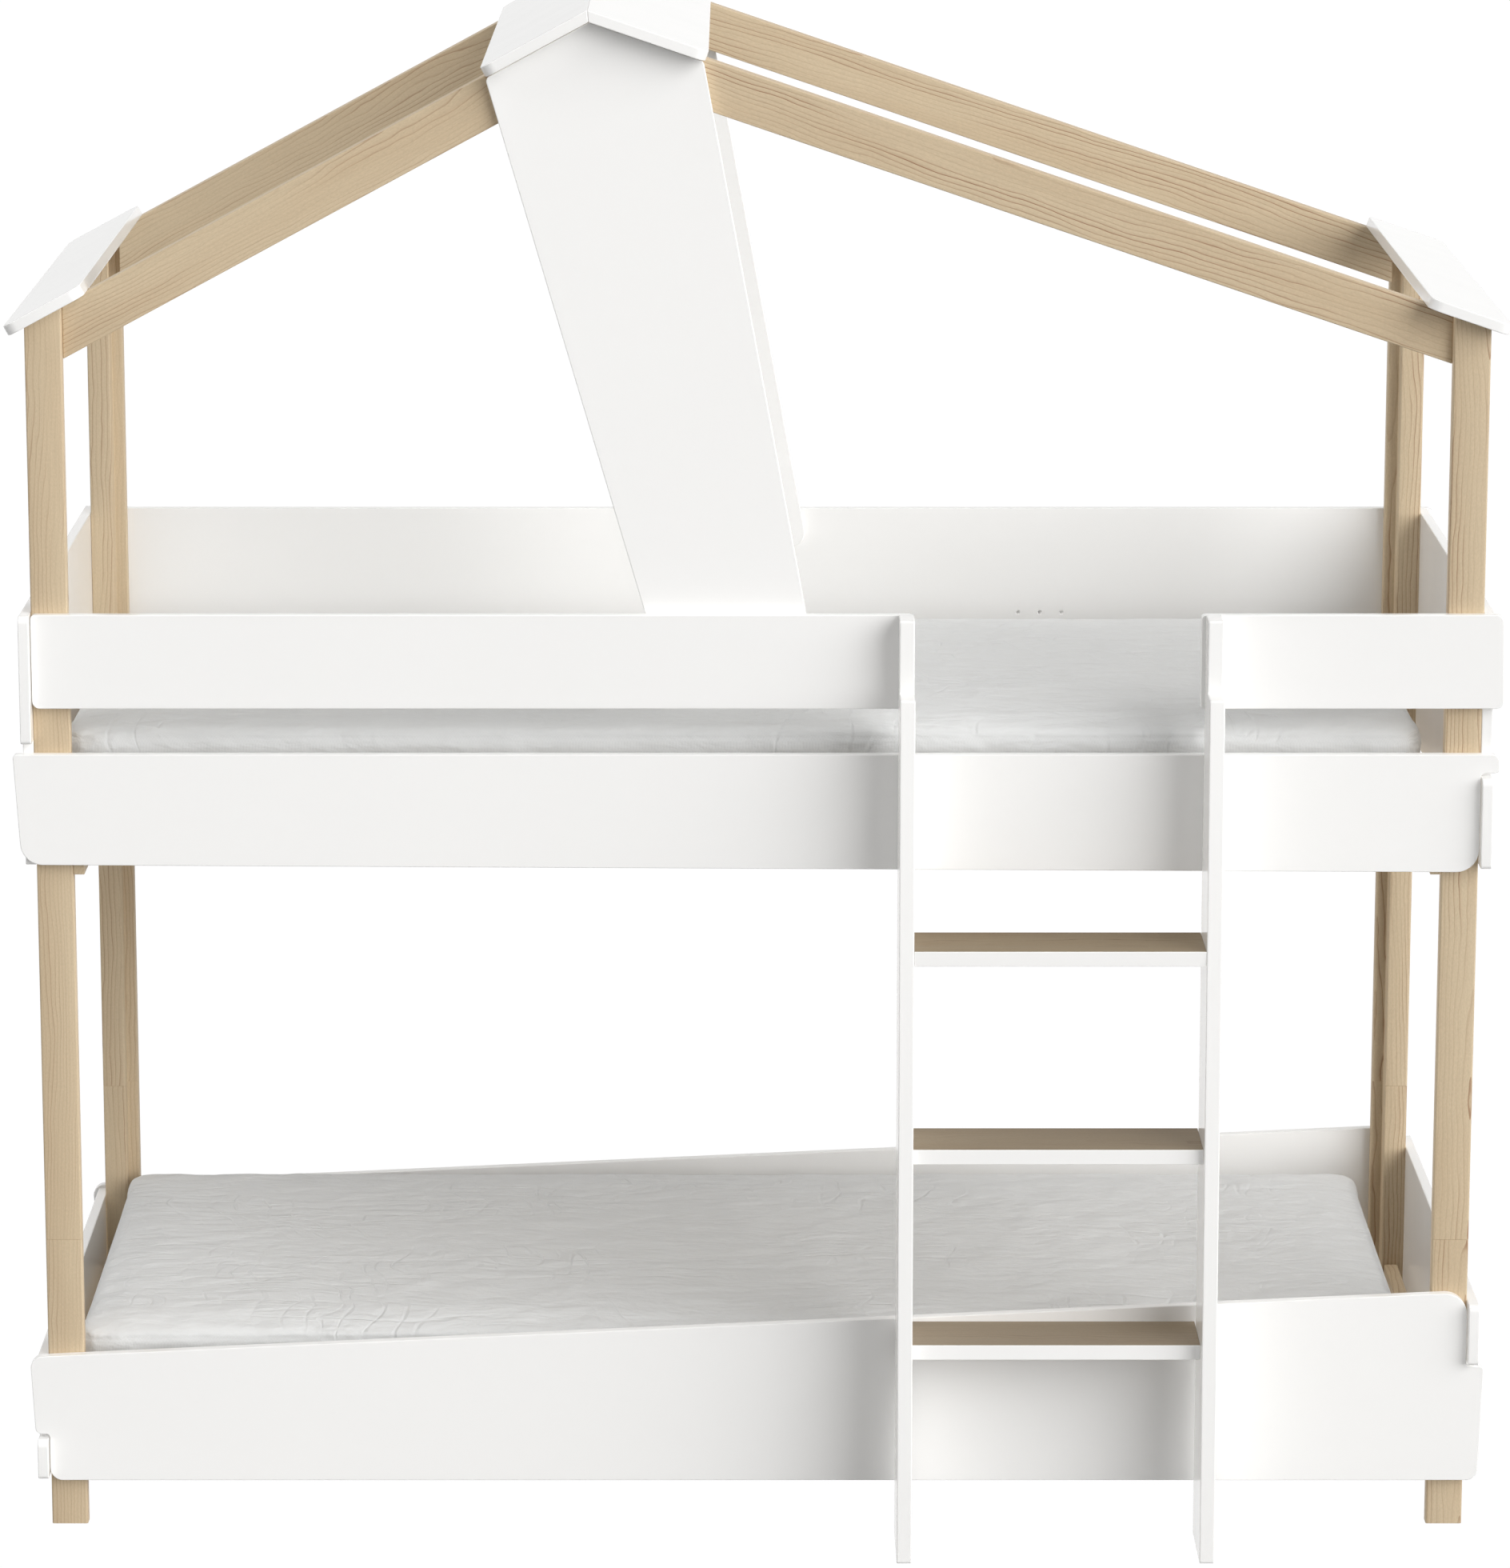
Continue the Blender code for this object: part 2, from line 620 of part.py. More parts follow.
def build_end_boards(white):
    upper_left = (UPPER_LEFT_FINGER_BOTTOM, GUARD_TOP)
    upper_right = (UPPER_END_BOTTOM, RIGHT_RAIL_FINGER_BOTTOM - FINGER_CLEARANCE)
    lower_bottom = LOWER_PANEL_BOTTOM + LOWER_END_RISE
    lower_left = (lower_bottom, LOWER_LEFT_FINGER_BOTTOM - FINGER_CLEARANCE)
    lower_right = (LOWER_RIGHT_FINGER_TOP + FINGER_CLEARANCE, lower_bottom + max(RIGHT_END_WIDTHS))
    upper_widths = (GUARD_TOP - UPPER_END_BOTTOM, BACK_TOP - UPPER_END_BOTTOM)
    end_board("upper_end_left", "left", UPPER_END_BOTTOM, upper_widths, upper_left, white)
    end_board("upper_end_right", "right", UPPER_END_BOTTOM, upper_widths, upper_right, white)
    end_board("lower_end_left", "left", lower_bottom, LEFT_END_WIDTHS, lower_left, white)
    end_board("lower_end_right", "right", lower_bottom, RIGHT_END_WIDTHS, lower_right, white)


def build_slat_base(bunk, slat_top, pine):
    """A roll of pine slats stapled on two bands of webbing, lying on two ledgers."""
    step = (SLAT_BASE_LENGTH - SLAT_WIDTH) / (SLAT_COUNT - 1)
    front = FRONT + SLAT_END_GAP
    back = BACK - SLAT_END_GAP
    data = bmesh.new()

    def add_box(low, high):
        outline = [(low[0], low[1]), (high[0], low[1]), (high[0], high[1]), (low[0], high[1])]
        part = prism(outline, "Z", low[2], high[2])
        scratch = bpy.data.meshes.new("scratch")
        part.to_mesh(scratch)
        part.free()
        data.from_mesh(scratch)
        bpy.data.meshes.remove(scratch)

    for index in range(SLAT_COUNT):
        left = -SLAT_BASE_LENGTH / 2 + step * index
        add_box((left, front, slat_top - SLAT), (left + SLAT_WIDTH, back, slat_top))
    slats = add_object(f"slat_base_{bunk}", data, pine)
    for number, inset in enumerate((WEBBING_INSET, DEPTH - WEBBING_INSET)):
        middle = FRONT + inset
        half = WEBBING_WIDTH / 2
        low = (-SLAT_BASE_LENGTH / 2 + half, middle - half, slat_top - WEBBING / 2)
        high = (SLAT_BASE_LENGTH / 2 - half, middle + half, slat_top + WEBBING / 2)
        band = block(f"webbing_{bunk}_{number}", low, high, pine)
        band.modifiers.clear()
        join = slats.modifiers.new(f"webbing_{number}", "BOOLEAN")
        join.operation = "UNION"
        join.solver = "EXACT"
        join.object = band
        hide_tool(band, slats)


def build_ledgers(bunk, slat_top, end, pine):
    """Pine ledgers on the long boards carry the slats' ends."""
    top = slat_top - SLAT - SLIP
    for face in ("front", "back"):
        low, high = between(face, SLIP, LEDGER)
        block(f"ledger_{bunk}_{face}", (-end, low, top - LEDGER_HEIGHT), (end, high, top), pine)


def build_cross_boards(pine):
    """Pine boards from front to back beside the upper bunk's posts."""
    top = UPPER_SLAT_TOP - SLAT - SLIP
    for side, sign in SIDES.items():
        faces = sorted((sign * (POST_INSIDE - SLIP), sign * (POST_INSIDE - SLIP - BOARD)))
        low = (faces[0], FRONT + SLIP, CROSS_BOARD_BOTTOM)
        high = (faces[1], BACK - SLIP, top)
        block(f"cross_board_{side}", low, high, pine)


def build_end_rails(pine):
    """Rails from the front post to the back post at each end of the lower bunk."""
    for side, sign in SIDES.items():
        outer = HALF_LENGTH - END_RAIL_BACKSET
        low_x, high_x = sorted((sign * outer, sign * (outer - END_RAIL)))
        low_y = FRONT + POST + SLIP
        high_y = BACK - POST - SLIP
        corners = [
            (low_x, low_y, END_RAIL_RADIUS),
            (high_x, low_y, END_RAIL_RADIUS),
            (high_x, high_y, END_RAIL_RADIUS),
            (low_x, high_y, END_RAIL_RADIUS),
        ]
        board(f"end_rail_{side}", rounded(corners), "Z", END_RAIL_TOP - END_RAIL_HEIGHT, END_RAIL_TOP, pine)


def build_ladder(long_boards, white, pine, steel):
    """Two tapered stiles with a stepped head, three treads and bolts from inside the bed."""
    rail, guard_left, guard_right = long_boards
    back = FRONT - BOARD - SLIP
    profile = [
        (FRONT - LADDER_FOOT_REACH, 0, LADDER_RADIUS),
        (FRONT - LADDER_FOOT_BACK, 0, LADDER_RADIUS),
        (back, RAIL_BOTTOM_RIGHT, 0),
        (back, LADDER_TOP, LADDER_RADIUS),
        (FRONT - LADDER_HEAD_REACH, LADDER_TOP, LADDER_RADIUS),
        (FRONT - LADDER_HEAD_REACH, LADDER_LEDGE_HEIGHT, LADDER_RADIUS),
        (FRONT - LADDER_LEDGE_REACH, LADDER_LEDGE_HEIGHT, LADDER_RADIUS),
    ]
    places = {
        "left": (LADDER_INSIDE_LEFT - STILE, LADDER_INSIDE_LEFT, guard_left),
        "right": (LADDER_INSIDE_RIGHT, LADDER_INSIDE_RIGHT + STILE, guard_right),
    }
    for side, (low_x, high_x, guard) in places.items():
        stile = board(f"ladder_stile_{side}", rounded(profile), "X", low_x, high_x, white)
        for level, (height, held) in enumerate(zip(BOLT_HEIGHTS, (guard, rail))):
            centre = ((low_x + high_x) / 2, height)
            name = f"ladder_bolt_{side}_{('upper', 'lower')[level]}"
            tip = FRONT - BOLT_GRIP
            hole = BOLT_RADIUS + BOLT_HOLE_GAP
            drill(stile, f"{name}_stile_hole", centre, "Y", tip - SLIP, FRONT, hole)
            drill(held, f"{name}_board_hole", centre, "Y", back, FRONT + BOX_CUT_OVERRUN, hole)
            build_bolt(name, centre, tip, steel)
    for number in range(TREAD_COUNT):
        top = FIRST_TREAD_TOP + TREAD_PITCH * number
        face = FRONT - BOARD - TREAD_BACKSET
        low = (LADDER_INSIDE_LEFT + SLIP, face - TREAD_DEPTH, top - TREAD)
        high = (LADDER_INSIDE_RIGHT - SLIP, face, top)
        block(f"ladder_tread_{number + 1}", low, high, pine)


def build_bolt(name, centre, tip, steel, sides=16):
    """A furniture bolt with a flat round head against the inside of the board."""
    seat = FRONT + SLIP
    stations = [
        (tip, BOLT_RADIUS),
        (seat, BOLT_RADIUS),
        (seat, BOLT_HEAD_RADIUS),
        (seat + BOLT_HEAD_THICKNESS, BOLT_HEAD_RADIUS - SLIP),
    ]
    data = bmesh.new()
    rings = []
    for level, radius in stations:
        ring = []
        for step in range(sides):
            angle = math.tau * step / sides
            a = centre[0] + radius * math.cos(angle)
            b = centre[1] + radius * math.sin(angle)
            ring.append(data.verts.new((a, level, b)))
        rings.append(ring)
    data.faces.new(rings[0])
    data.faces.new(list(reversed(rings[-1])))
    for first, second in zip(rings, rings[1:]):
        for step in range(sides):
            following = (step + 1) % sides
            data.faces.new((first[step], second[step], second[following], first[following]))
    smooth(add_object(name, data, steel))


def mattress_plan(inset, drawn):
    """Points round the mattress at one level, with sides drawn in between the corners."""
    half_length = MATTRESS_LENGTH / 2 - inset
    half_width = MATTRESS_WIDTH / 2 - inset
    radius = max(MATTRESS_CORNER - inset, MATTRESS_CORNER / 4)
    straight_x = half_length - radius
    straight_y = half_width - radius
    quarter = []
    for step in range(MATTRESS_SHORT_STEPS // 2):
        share = step / (MATTRESS_SHORT_STEPS // 2)
        pull = drawn * (1 + math.cos(math.pi * share)) / 2
        quarter.append((half_length - pull, straight_y * share))
    for step in range(MATTRESS_CORNER_STEPS + 1):
        angle = math.pi / 2 * step / MATTRESS_CORNER_STEPS
        quarter.append((straight_x + radius * math.cos(angle), straight_y + radius * math.sin(angle)))
    for step in range(1, MATTRESS_LONG_STEPS // 2):
        share = 1 - step / (MATTRESS_LONG_STEPS // 2)
        pull = drawn * (1 + math.cos(math.pi * share)) / 2
        quarter.append((straight_x * share, half_width - pull))
    plan = list(quarter)
    plan.append((0, half_width - drawn))
    plan.extend((-x, y) for x, y in reversed(quarter))
    plan.extend((-x, -y) for x, y in quarter[1:])
    plan.append((0, -half_width + drawn))
    plan.extend((x, -y) for x, y in reversed(quarter[1:]))
    return plan


def build_mattress(bunk, slat_top, fabric):
    """A soft block with round edges, a crowned top and sides that pull in between the corners."""
    bottom = slat_top + WEBBING / 2 + SLIP
    top = bottom + MATTRESS_HEIGHT
    centre_x = -HALF_LENGTH + MATTRESS_END_GAPS[0] + MATTRESS_LENGTH / 2
    centre_y = (FRONT + BACK) / 2
    levels = []
    for step in range(EDGE_STEPS + 1):
        angle = math.pi / 2 * step / EDGE_STEPS
        inset = MATTRESS_EDGE * (1 - math.sin(angle))
        levels.append((inset, bottom + MATTRESS_EDGE * (1 - math.cos(angle)), 0))
    side = MATTRESS_HEIGHT - 2 * MATTRESS_EDGE
    for step in range(1, SIDE_STEPS):
        share = step / SIDE_STEPS
        pull = MATTRESS_DRAWN_IN * math.sin(math.pi * share)
        levels.append((pull / 2, bottom + MATTRESS_EDGE + side * share, pull / 2))
    for step in range(EDGE_STEPS + 1):
        angle = math.pi / 2 * step / EDGE_STEPS
        inset = MATTRESS_EDGE * (1 - math.cos(angle))
        levels.append((inset, top - MATTRESS_EDGE * (1 - math.sin(angle)), 0))
    data = bmesh.new()
    rings = []
    for inset, height, drawn in levels:
        ring = []
        for x, y in mattress_plan(inset, drawn):
            ring.append(data.verts.new((centre_x + x, centre_y + y, height)))
        rings.append(ring)
    rim = mattress_plan(MATTRESS_EDGE, 0)
    for share in CROWN_SHARES:
        height = top + MATTRESS_CROWN * (1 - share ** CROWN_POWER)
        rings.append([data.verts.new((centre_x + x * share, centre_y + y * share, height)) for x, y in rim])
    data.faces.new(list(reversed(rings[0])))
    data.faces.new(rings[-1])
    count = len(rings[0])
    for first, second in zip(rings, rings[1:]):
        for index in range(count):
            following = (index + 1) % count
            data.faces.new((first[index], first[following], second[following], second[index]))
    smooth(add_object(f"mattress_{bunk}", data, fabric))


def build_bed():
    clear_scene()
    pine = finish("pine", (0.62, 0.45, 0.27), 0.55)
    white = finish("white_paint", (0.86, 0.86, 0.85), 0.45)
    fabric = finish("mattress_cover", (0.62, 0.62, 0.60), 0.9)
    steel = finish("zinc_steel", (0.55, 0.55, 0.56), 0.35, 1.0)
    for face in ("front", "back"):
        for side in SIDES:
            build_post(side, face, pine)
    gather("posts")
    for face in ("front", "back"):
        build_rafters(face, pine)
        build_gable_board(face, white)
    build_caps(white)
    gather("gable_roof")
    long_boards = build_long_boards(white)
    build_end_boards(white)
    gather("boards")
    build_cross_boards(pine)
    build_ledgers("upper", UPPER_SLAT_TOP, POST_INSIDE - BOARD - 2 * SLIP, pine)
    build_slat_base("upper", UPPER_SLAT_TOP, pine)
    build_mattress("upper", UPPER_SLAT_TOP, fabric)
    gather("upper_bunk")
    build_end_rails(pine)
    build_ledgers("lower", LOWER_SLAT_TOP, POST_INSIDE - SLIP, pine)
    build_slat_base("lower", LOWER_SLAT_TOP, pine)
    build_mattress("lower", LOWER_SLAT_TOP, fabric)
    gather("lower_bunk")
    build_ladder(long_boards, white, pine, steel)
    gather("ladder")


build_bed()
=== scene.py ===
"""Children's bunk bed with a leaning house gable: pale pine posts, white painted boards."""

import math

import bmesh
import bpy
from mathutils import Euler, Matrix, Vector, noise


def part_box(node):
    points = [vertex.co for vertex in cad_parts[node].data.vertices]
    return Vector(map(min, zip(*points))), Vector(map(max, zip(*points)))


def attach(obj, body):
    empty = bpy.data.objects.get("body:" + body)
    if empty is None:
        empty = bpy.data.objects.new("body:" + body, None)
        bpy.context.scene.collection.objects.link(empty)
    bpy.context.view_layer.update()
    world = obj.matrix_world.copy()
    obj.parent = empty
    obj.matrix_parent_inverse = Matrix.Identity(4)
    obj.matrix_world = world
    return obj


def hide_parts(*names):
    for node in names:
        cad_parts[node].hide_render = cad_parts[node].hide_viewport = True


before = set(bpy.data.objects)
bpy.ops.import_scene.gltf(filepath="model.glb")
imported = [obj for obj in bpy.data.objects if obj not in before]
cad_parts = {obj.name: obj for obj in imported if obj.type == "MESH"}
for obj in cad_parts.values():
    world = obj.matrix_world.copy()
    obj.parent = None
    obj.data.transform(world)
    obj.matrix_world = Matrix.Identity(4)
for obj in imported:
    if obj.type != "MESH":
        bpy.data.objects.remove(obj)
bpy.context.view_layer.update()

# The corner posts are pale, almost knot-free pine, planed to an L-shaped section whose rebate
# holds the mattress corner. Each is two lengths doweled end to end, so only a hairline shows
# where they meet, and the upper length is cut to the slope of the roof.
FRONT_FACE = -0.392
BACK_FACE = 0.544
POST_OUTSIDE = 1.062
POST_WIDTH = 0.054
POST_REBATE = (0.024, 0.0365)
POST_SEAM = 0.4447
HAIRLINE = 0.0003
POST_ARRIS = 0.003
POST_END = 0.0004
SANDED = 0.0015
RIDGE = (-0.2424, 2.260)
LEFT_SLOPE = 0.539
RIGHT_SLOPE = -0.3402
PINE_PALE = (0.592, 0.479, 0.326)
PINE_WARM = (0.532, 0.411, 0.268)
PINE_LATE = (0.275, 0.140, 0.072)


def roof_line(x):
    slope = LEFT_SLOPE if x < RIDGE[0] else RIGHT_SLOPE
    return RIDGE[1] + slope * (x - RIDGE[0])


def sawn_outline(corners, steps=9):
    """Turn corners (a, b, radius) into an outline with true arcs."""
    outline = []
    for index, (a, b, radius) in enumerate(corners):
        corner = Vector((a, b))
        before = Vector(corners[index - 1][:2]) - corner
        after = Vector(corners[(index + 1) % len(corners)][:2]) - corner
        half = before.angle(after) / 2
        reach = min(radius / math.tan(half), 0.45 * before.length, 0.45 * after.length)
        before.normalize()
        after.normalize()
        if reach <= 0:
            outline.append((a, b))
            continue
        radius = reach * math.tan(half)
        start = corner + before * reach
        end = corner + after * reach
        centre = corner + (before + after).normalized() * radius / math.sin(half)
        first = math.atan2(start.y - centre.y, start.x - centre.x)
        last = math.atan2(end.y - centre.y, end.x - centre.x)
        turn = (last - first + math.pi) % math.tau - math.pi
        count = max(3, round(steps * abs(turn) / (math.pi / 2)))
        for step in range(count + 1):
            angle = first + turn * step / count
            x = centre.x + radius * math.cos(angle)
            y = centre.y + radius * math.sin(angle)
            outline.append((x, y))
    return outline


def soften_edges(piece, radius):
    """Sand the sharp edges round, and keep the wide faces flat in shading."""
    piece.data.shade_smooth()
    bevel = piece.modifiers.new("sanded edges", "BEVEL")
    bevel.width = radius
    bevel.segments = 3
    bevel.limit_method = "ANGLE"
    bevel.angle_limit = math.radians(40)
    bevel.harden_normals = True
    return piece


def saw_board(name, outline, across, low, high, radius):
    """A board sawn to an outline, with its two faces at low and high along the axis across."""
    turn = {
        "X": lambda a, b, c: (c, a, b),
        "Y": lambda a, b, c: (a, c, b),
        "Z": lambda a, b, c: (a, b, c),
    }[across]
    shape = bmesh.new()
    ends = [[shape.verts.new(turn(a, b, level)) for a, b in outline] for level in (low, high)]
    shape.faces.new(ends[0])
    shape.faces.new(list(reversed(ends[1])))
    for index in range(len(outline)):
        after = (index + 1) % len(outline)
        shape.faces.new((ends[0][index], ends[1][index], ends[1][after], ends[0][after]))
    bmesh.ops.recalc_face_normals(shape, faces=shape.faces)
    mesh = bpy.data.meshes.new(name)
    shape.to_mesh(mesh)
    shape.free()
    piece = bpy.data.objects.new(name, mesh)
    bpy.context.scene.collection.objects.link(piece)
    return soften_edges(piece, radius)


def plain_mesh(piece):
    """Replace the mesh by what its modifiers make of it, and clear them."""
    shaped = piece.evaluated_get(bpy.context.evaluated_depsgraph_get())
    mesh = bpy.data.meshes.new_from_object(shaped)
    piece.modifiers.clear()
    piece.data = mesh


def fit(piece, node, finish, body="bed"):
    """Finish a piece and put it in the place of its solid."""
    piece.data.materials.clear()
    piece.data.materials.append(finish)
    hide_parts(node)
    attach(piece, body)


def wire(tree, kind, *values, **settings):
    """Add a node, set or link its inputs in order, and return its first output."""
    node = tree.nodes.new(kind)
    for name, value in settings.items():
        setattr(node, name, value)
    for socket, value in zip(node.inputs, values):
        if isinstance(value, bpy.types.NodeSocket):
            tree.links.new(value, socket)
        elif value is not None:
            socket.default_value = value
    return node.outputs[0]


def math_of(tree, operation, *values):
    return wire(tree, "ShaderNodeMath", *values, operation=operation)


def separate(tree, vector):
    return wire(tree, "ShaderNodeSeparateXYZ", vector).node.outputs


def dim(tree, colour, share):
    """The colour times a grey share."""
    grey = wire(tree, "ShaderNodeCombineXYZ", share, share, share)
    return wire(tree, "ShaderNodeVectorMath", colour, grey, operation="MULTIPLY")


def blend_colour(tree, share, first, second):
    """Mix two colours, each a triple or an output, by a share."""
    node = tree.nodes.new("ShaderNodeMix")
    node.data_type = "RGBA"
    tree.links.new(share, node.inputs[0])
    for socket, value in ((node.inputs[6], first), (node.inputs[7], second)):
        if isinstance(value, tuple):
            socket.default_value = (*value, 1.0)
        else:
            tree.links.new(value, socket)
    return node.outputs[2]


def stretched_noise(tree, place, scales, detail=2.0):
    """Noise with its own scale per metre along each axis, so that it can be drawn out."""
    scaled = wire(tree, "ShaderNodeVectorMath", place, scales, operation="MULTIPLY")
    node = tree.nodes.new("ShaderNodeTexNoise")
    tree.links.new(scaled, node.inputs["Vector"])
    node.inputs["Scale"].default_value = 1.0
    node.inputs["Detail"].default_value = detail
    return node


def smooth_range(tree, value, low, high, to_low=0.0, to_high=1.0):
    return wire(
        tree, "ShaderNodeMapRange", value, low, high, to_low, to_high,
        interpolation_type="SMOOTHSTEP",
    )


def new_figure(name, **inputs):
    """A group that turns a place and the named inputs into colour, roughness and height."""
    tree = bpy.data.node_groups.new(name, "ShaderNodeTree")
    kinds = {"Place": "Vector", **inputs}
    face = tree.interface
    for title, kind in kinds.items():
        title = title.replace("_", " ")
        face.new_socket(title, in_out="INPUT", socket_type=f"NodeSocket{kind}")
    for title, kind in (("Colour", "Color"), ("Roughness", "Float"), ("Height", "Float")):
        face.new_socket(title, in_out="OUTPUT", socket_type=f"NodeSocket{kind}")
    return tree, tree.nodes.new("NodeGroupInput").outputs


def close_figure(tree, *results):
    out = tree.nodes.new("NodeGroupOutput")
    for value, socket in zip(results, out.inputs):
        tree.links.new(value, socket)
    return tree


def new_finish(name):
    """A new material, its tree and its shader."""
    finish = bpy.data.materials.new(name)
    finish.use_nodes = True
    return finish, finish.node_tree, finish.node_tree.nodes["Principled BSDF"]


def object_place(tree):
    return tree.nodes.new("ShaderNodeTexCoord").outputs["Object"]


def add_relief(tree, height, strength, distance):
    """Bump from a height that stands for the given distance in metres."""
    relief = tree.nodes.new("ShaderNodeBump")
    relief.inputs["Strength"].default_value = strength
    relief.inputs["Distance"].default_value = distance
    tree.links.new(height, relief.inputs["Height"])
    return relief.outputs[0]


def use_figure(tree, shader, group, place, strength, distance):
    """Put a figure group on a shader, with its height as relief."""
    figure = tree.nodes.new("ShaderNodeGroup")
    figure.node_tree = group
    tree.links.new(place, figure.inputs["Place"])
    tree.links.new(figure.outputs["Colour"], shader.inputs["Base Color"])
    tree.links.new(figure.outputs["Roughness"], shader.inputs["Roughness"])
    relief = add_relief(tree, figure.outputs["Height"], strength, distance)
    tree.links.new(relief, shader.inputs["Normal"])
    return figure


def make_pine_figure():
    """Growth rings round a pith beside the board, each with its own strength, and fine fibres."""
    tree, given = new_figure(
        "pine figure", Ring_Width="Float", Line_Strength="Float", Warmth="Float", Depth="Float",
    )
    place = given["Place"]
    spot = separate(tree, place)
    slow = stretched_noise(tree, place, (1.3, 5.0, 5.0), 1.0)
    bend = separate(tree, slow.outputs["Color"])
    wave = stretched_noise(tree, place, (6.5, 24.0, 24.0), 1.0).outputs[0]
    across = math_of(tree, "ADD", spot[1], math_of(tree, "MULTIPLY_ADD", bend[0], 0.070, -0.035))
    through = math_of(tree, "ADD", spot[2], math_of(tree, "MULTIPLY_ADD", bend[1], 0.060, -0.030))
    wide = math_of(tree, "MULTIPLY", across, across)
    deep = math_of(tree, "MULTIPLY", through, through)
    radius = math_of(tree, "SQRT", math_of(tree, "ADD", wide, deep))
    ripple = stretched_noise(tree, place, (21.0, 75.0, 75.0), 1.0).outputs[0]
    radius = math_of(tree, "ADD", radius, math_of(tree, "MULTIPLY_ADD", wave, 0.014, -0.007))
    radius = math_of(tree, "ADD", radius, math_of(tree, "MULTIPLY_ADD", ripple, 0.004, -0.002))
    count = math_of(tree, "DIVIDE", radius, given["Ring Width"])
    year = math_of(tree, "FRACT", count)
    shoulder = smooth_range(tree, year, 0.25, 0.95, 0.0, 0.25)
    late = math_of(tree, "MULTIPLY_ADD", smooth_range(tree, year, 0.74, 0.93), 0.75, shoulder)
    late = math_of(tree, "MULTIPLY", late, smooth_range(tree, year, 1.0, 0.96))
    ring = math_of(tree, "FLOOR", count)
    growth = wire(tree, "ShaderNodeTexWhiteNoise", None, ring, noise_dimensions="1D")
    growth = math_of(tree, "MULTIPLY_ADD", growth, 0.7, 0.35)
    dense = stretched_noise(tree, place, (2.0, 24.0, 24.0), 1.0).outputs[0]
    dense = smooth_range(tree, dense, 0.38, 0.60, 0.22, 1.0)
    late = math_of(tree, "MULTIPLY", math_of(tree, "MULTIPLY", late, growth), dense)
    late = math_of(tree, "MULTIPLY", late, given["Line Strength"])
    fibre = stretched_noise(tree, place, (11.0, 620.0, 620.0), 2.0).outputs[0]
    pore = stretched_noise(tree, place, (240.0, 700.0, 700.0), 1.0).outputs[0]
    cloud = stretched_noise(tree, place, (2.2, 17.0, 17.0), 2.0).outputs[0]
    warm = math_of(tree, "ADD", smooth_range(tree, cloud, 0.3, 0.72, -0.3, 0.3), given["Warmth"])
    warm.node.use_clamp = True
    colour = blend_colour(tree, warm, PINE_PALE, PINE_WARM)
    colour = blend_colour(tree, late, colour, PINE_LATE)
    streak = math_of(tree, "MULTIPLY_ADD", fibre, 0.16, 0.92)
    streak = math_of(tree, "MULTIPLY", streak, math_of(tree, "MULTIPLY_ADD", pore, 0.22, 0.89))
    # A share below 1 darkens the whole colour: painted shade.
    streak = math_of(tree, "MULTIPLY", streak, given["Depth"])
    colour = dim(tree, colour, streak)
    rough = math_of(tree, "MULTIPLY_ADD", fibre, 0.16, 0.44)
    height = math_of(tree, "MULTIPLY", late, 0.5)
    height = math_of(tree, "MULTIPLY_ADD", fibre, 0.6, height)
    return close_figure(tree, colour, rough, height)


pine_figure = make_pine_figure()


def pine_finish(name, middle, turn, pith, along, strength, warmth, ring=0.005, depth=1.0):
    """Lacquered pine: turn lays the board's grain on X, pith is where its heart lies, and depth
    below 1 darkens the whole colour as painted shade.
    """
    finish, tree, shader = new_finish(name)
    lay = tree.nodes.new("ShaderNodeMapping")
    tree.links.new(object_place(tree), lay.inputs["Vector"])
    turned = Vector(middle)
    turned.rotate(Euler(turn))
    lay.inputs["Rotation"].default_value = turn
    lay.inputs["Location"].default_value = Vector((along, *pith)) - turned
    figure = use_figure(tree, shader, pine_figure, lay.outputs[0], strength=0.25, distance=0.0004)
    figure.inputs["Ring Width"].default_value = ring
    figure.inputs["Line Strength"].default_value = strength
    figure.inputs["Warmth"].default_value = warmth
    # depth below 1 is painted shade, darkening the wood's colour all over.
    figure.inputs["Depth"].default_value = depth
    shader.inputs["Specular IOR Level"].default_value = 0.35
    return finish


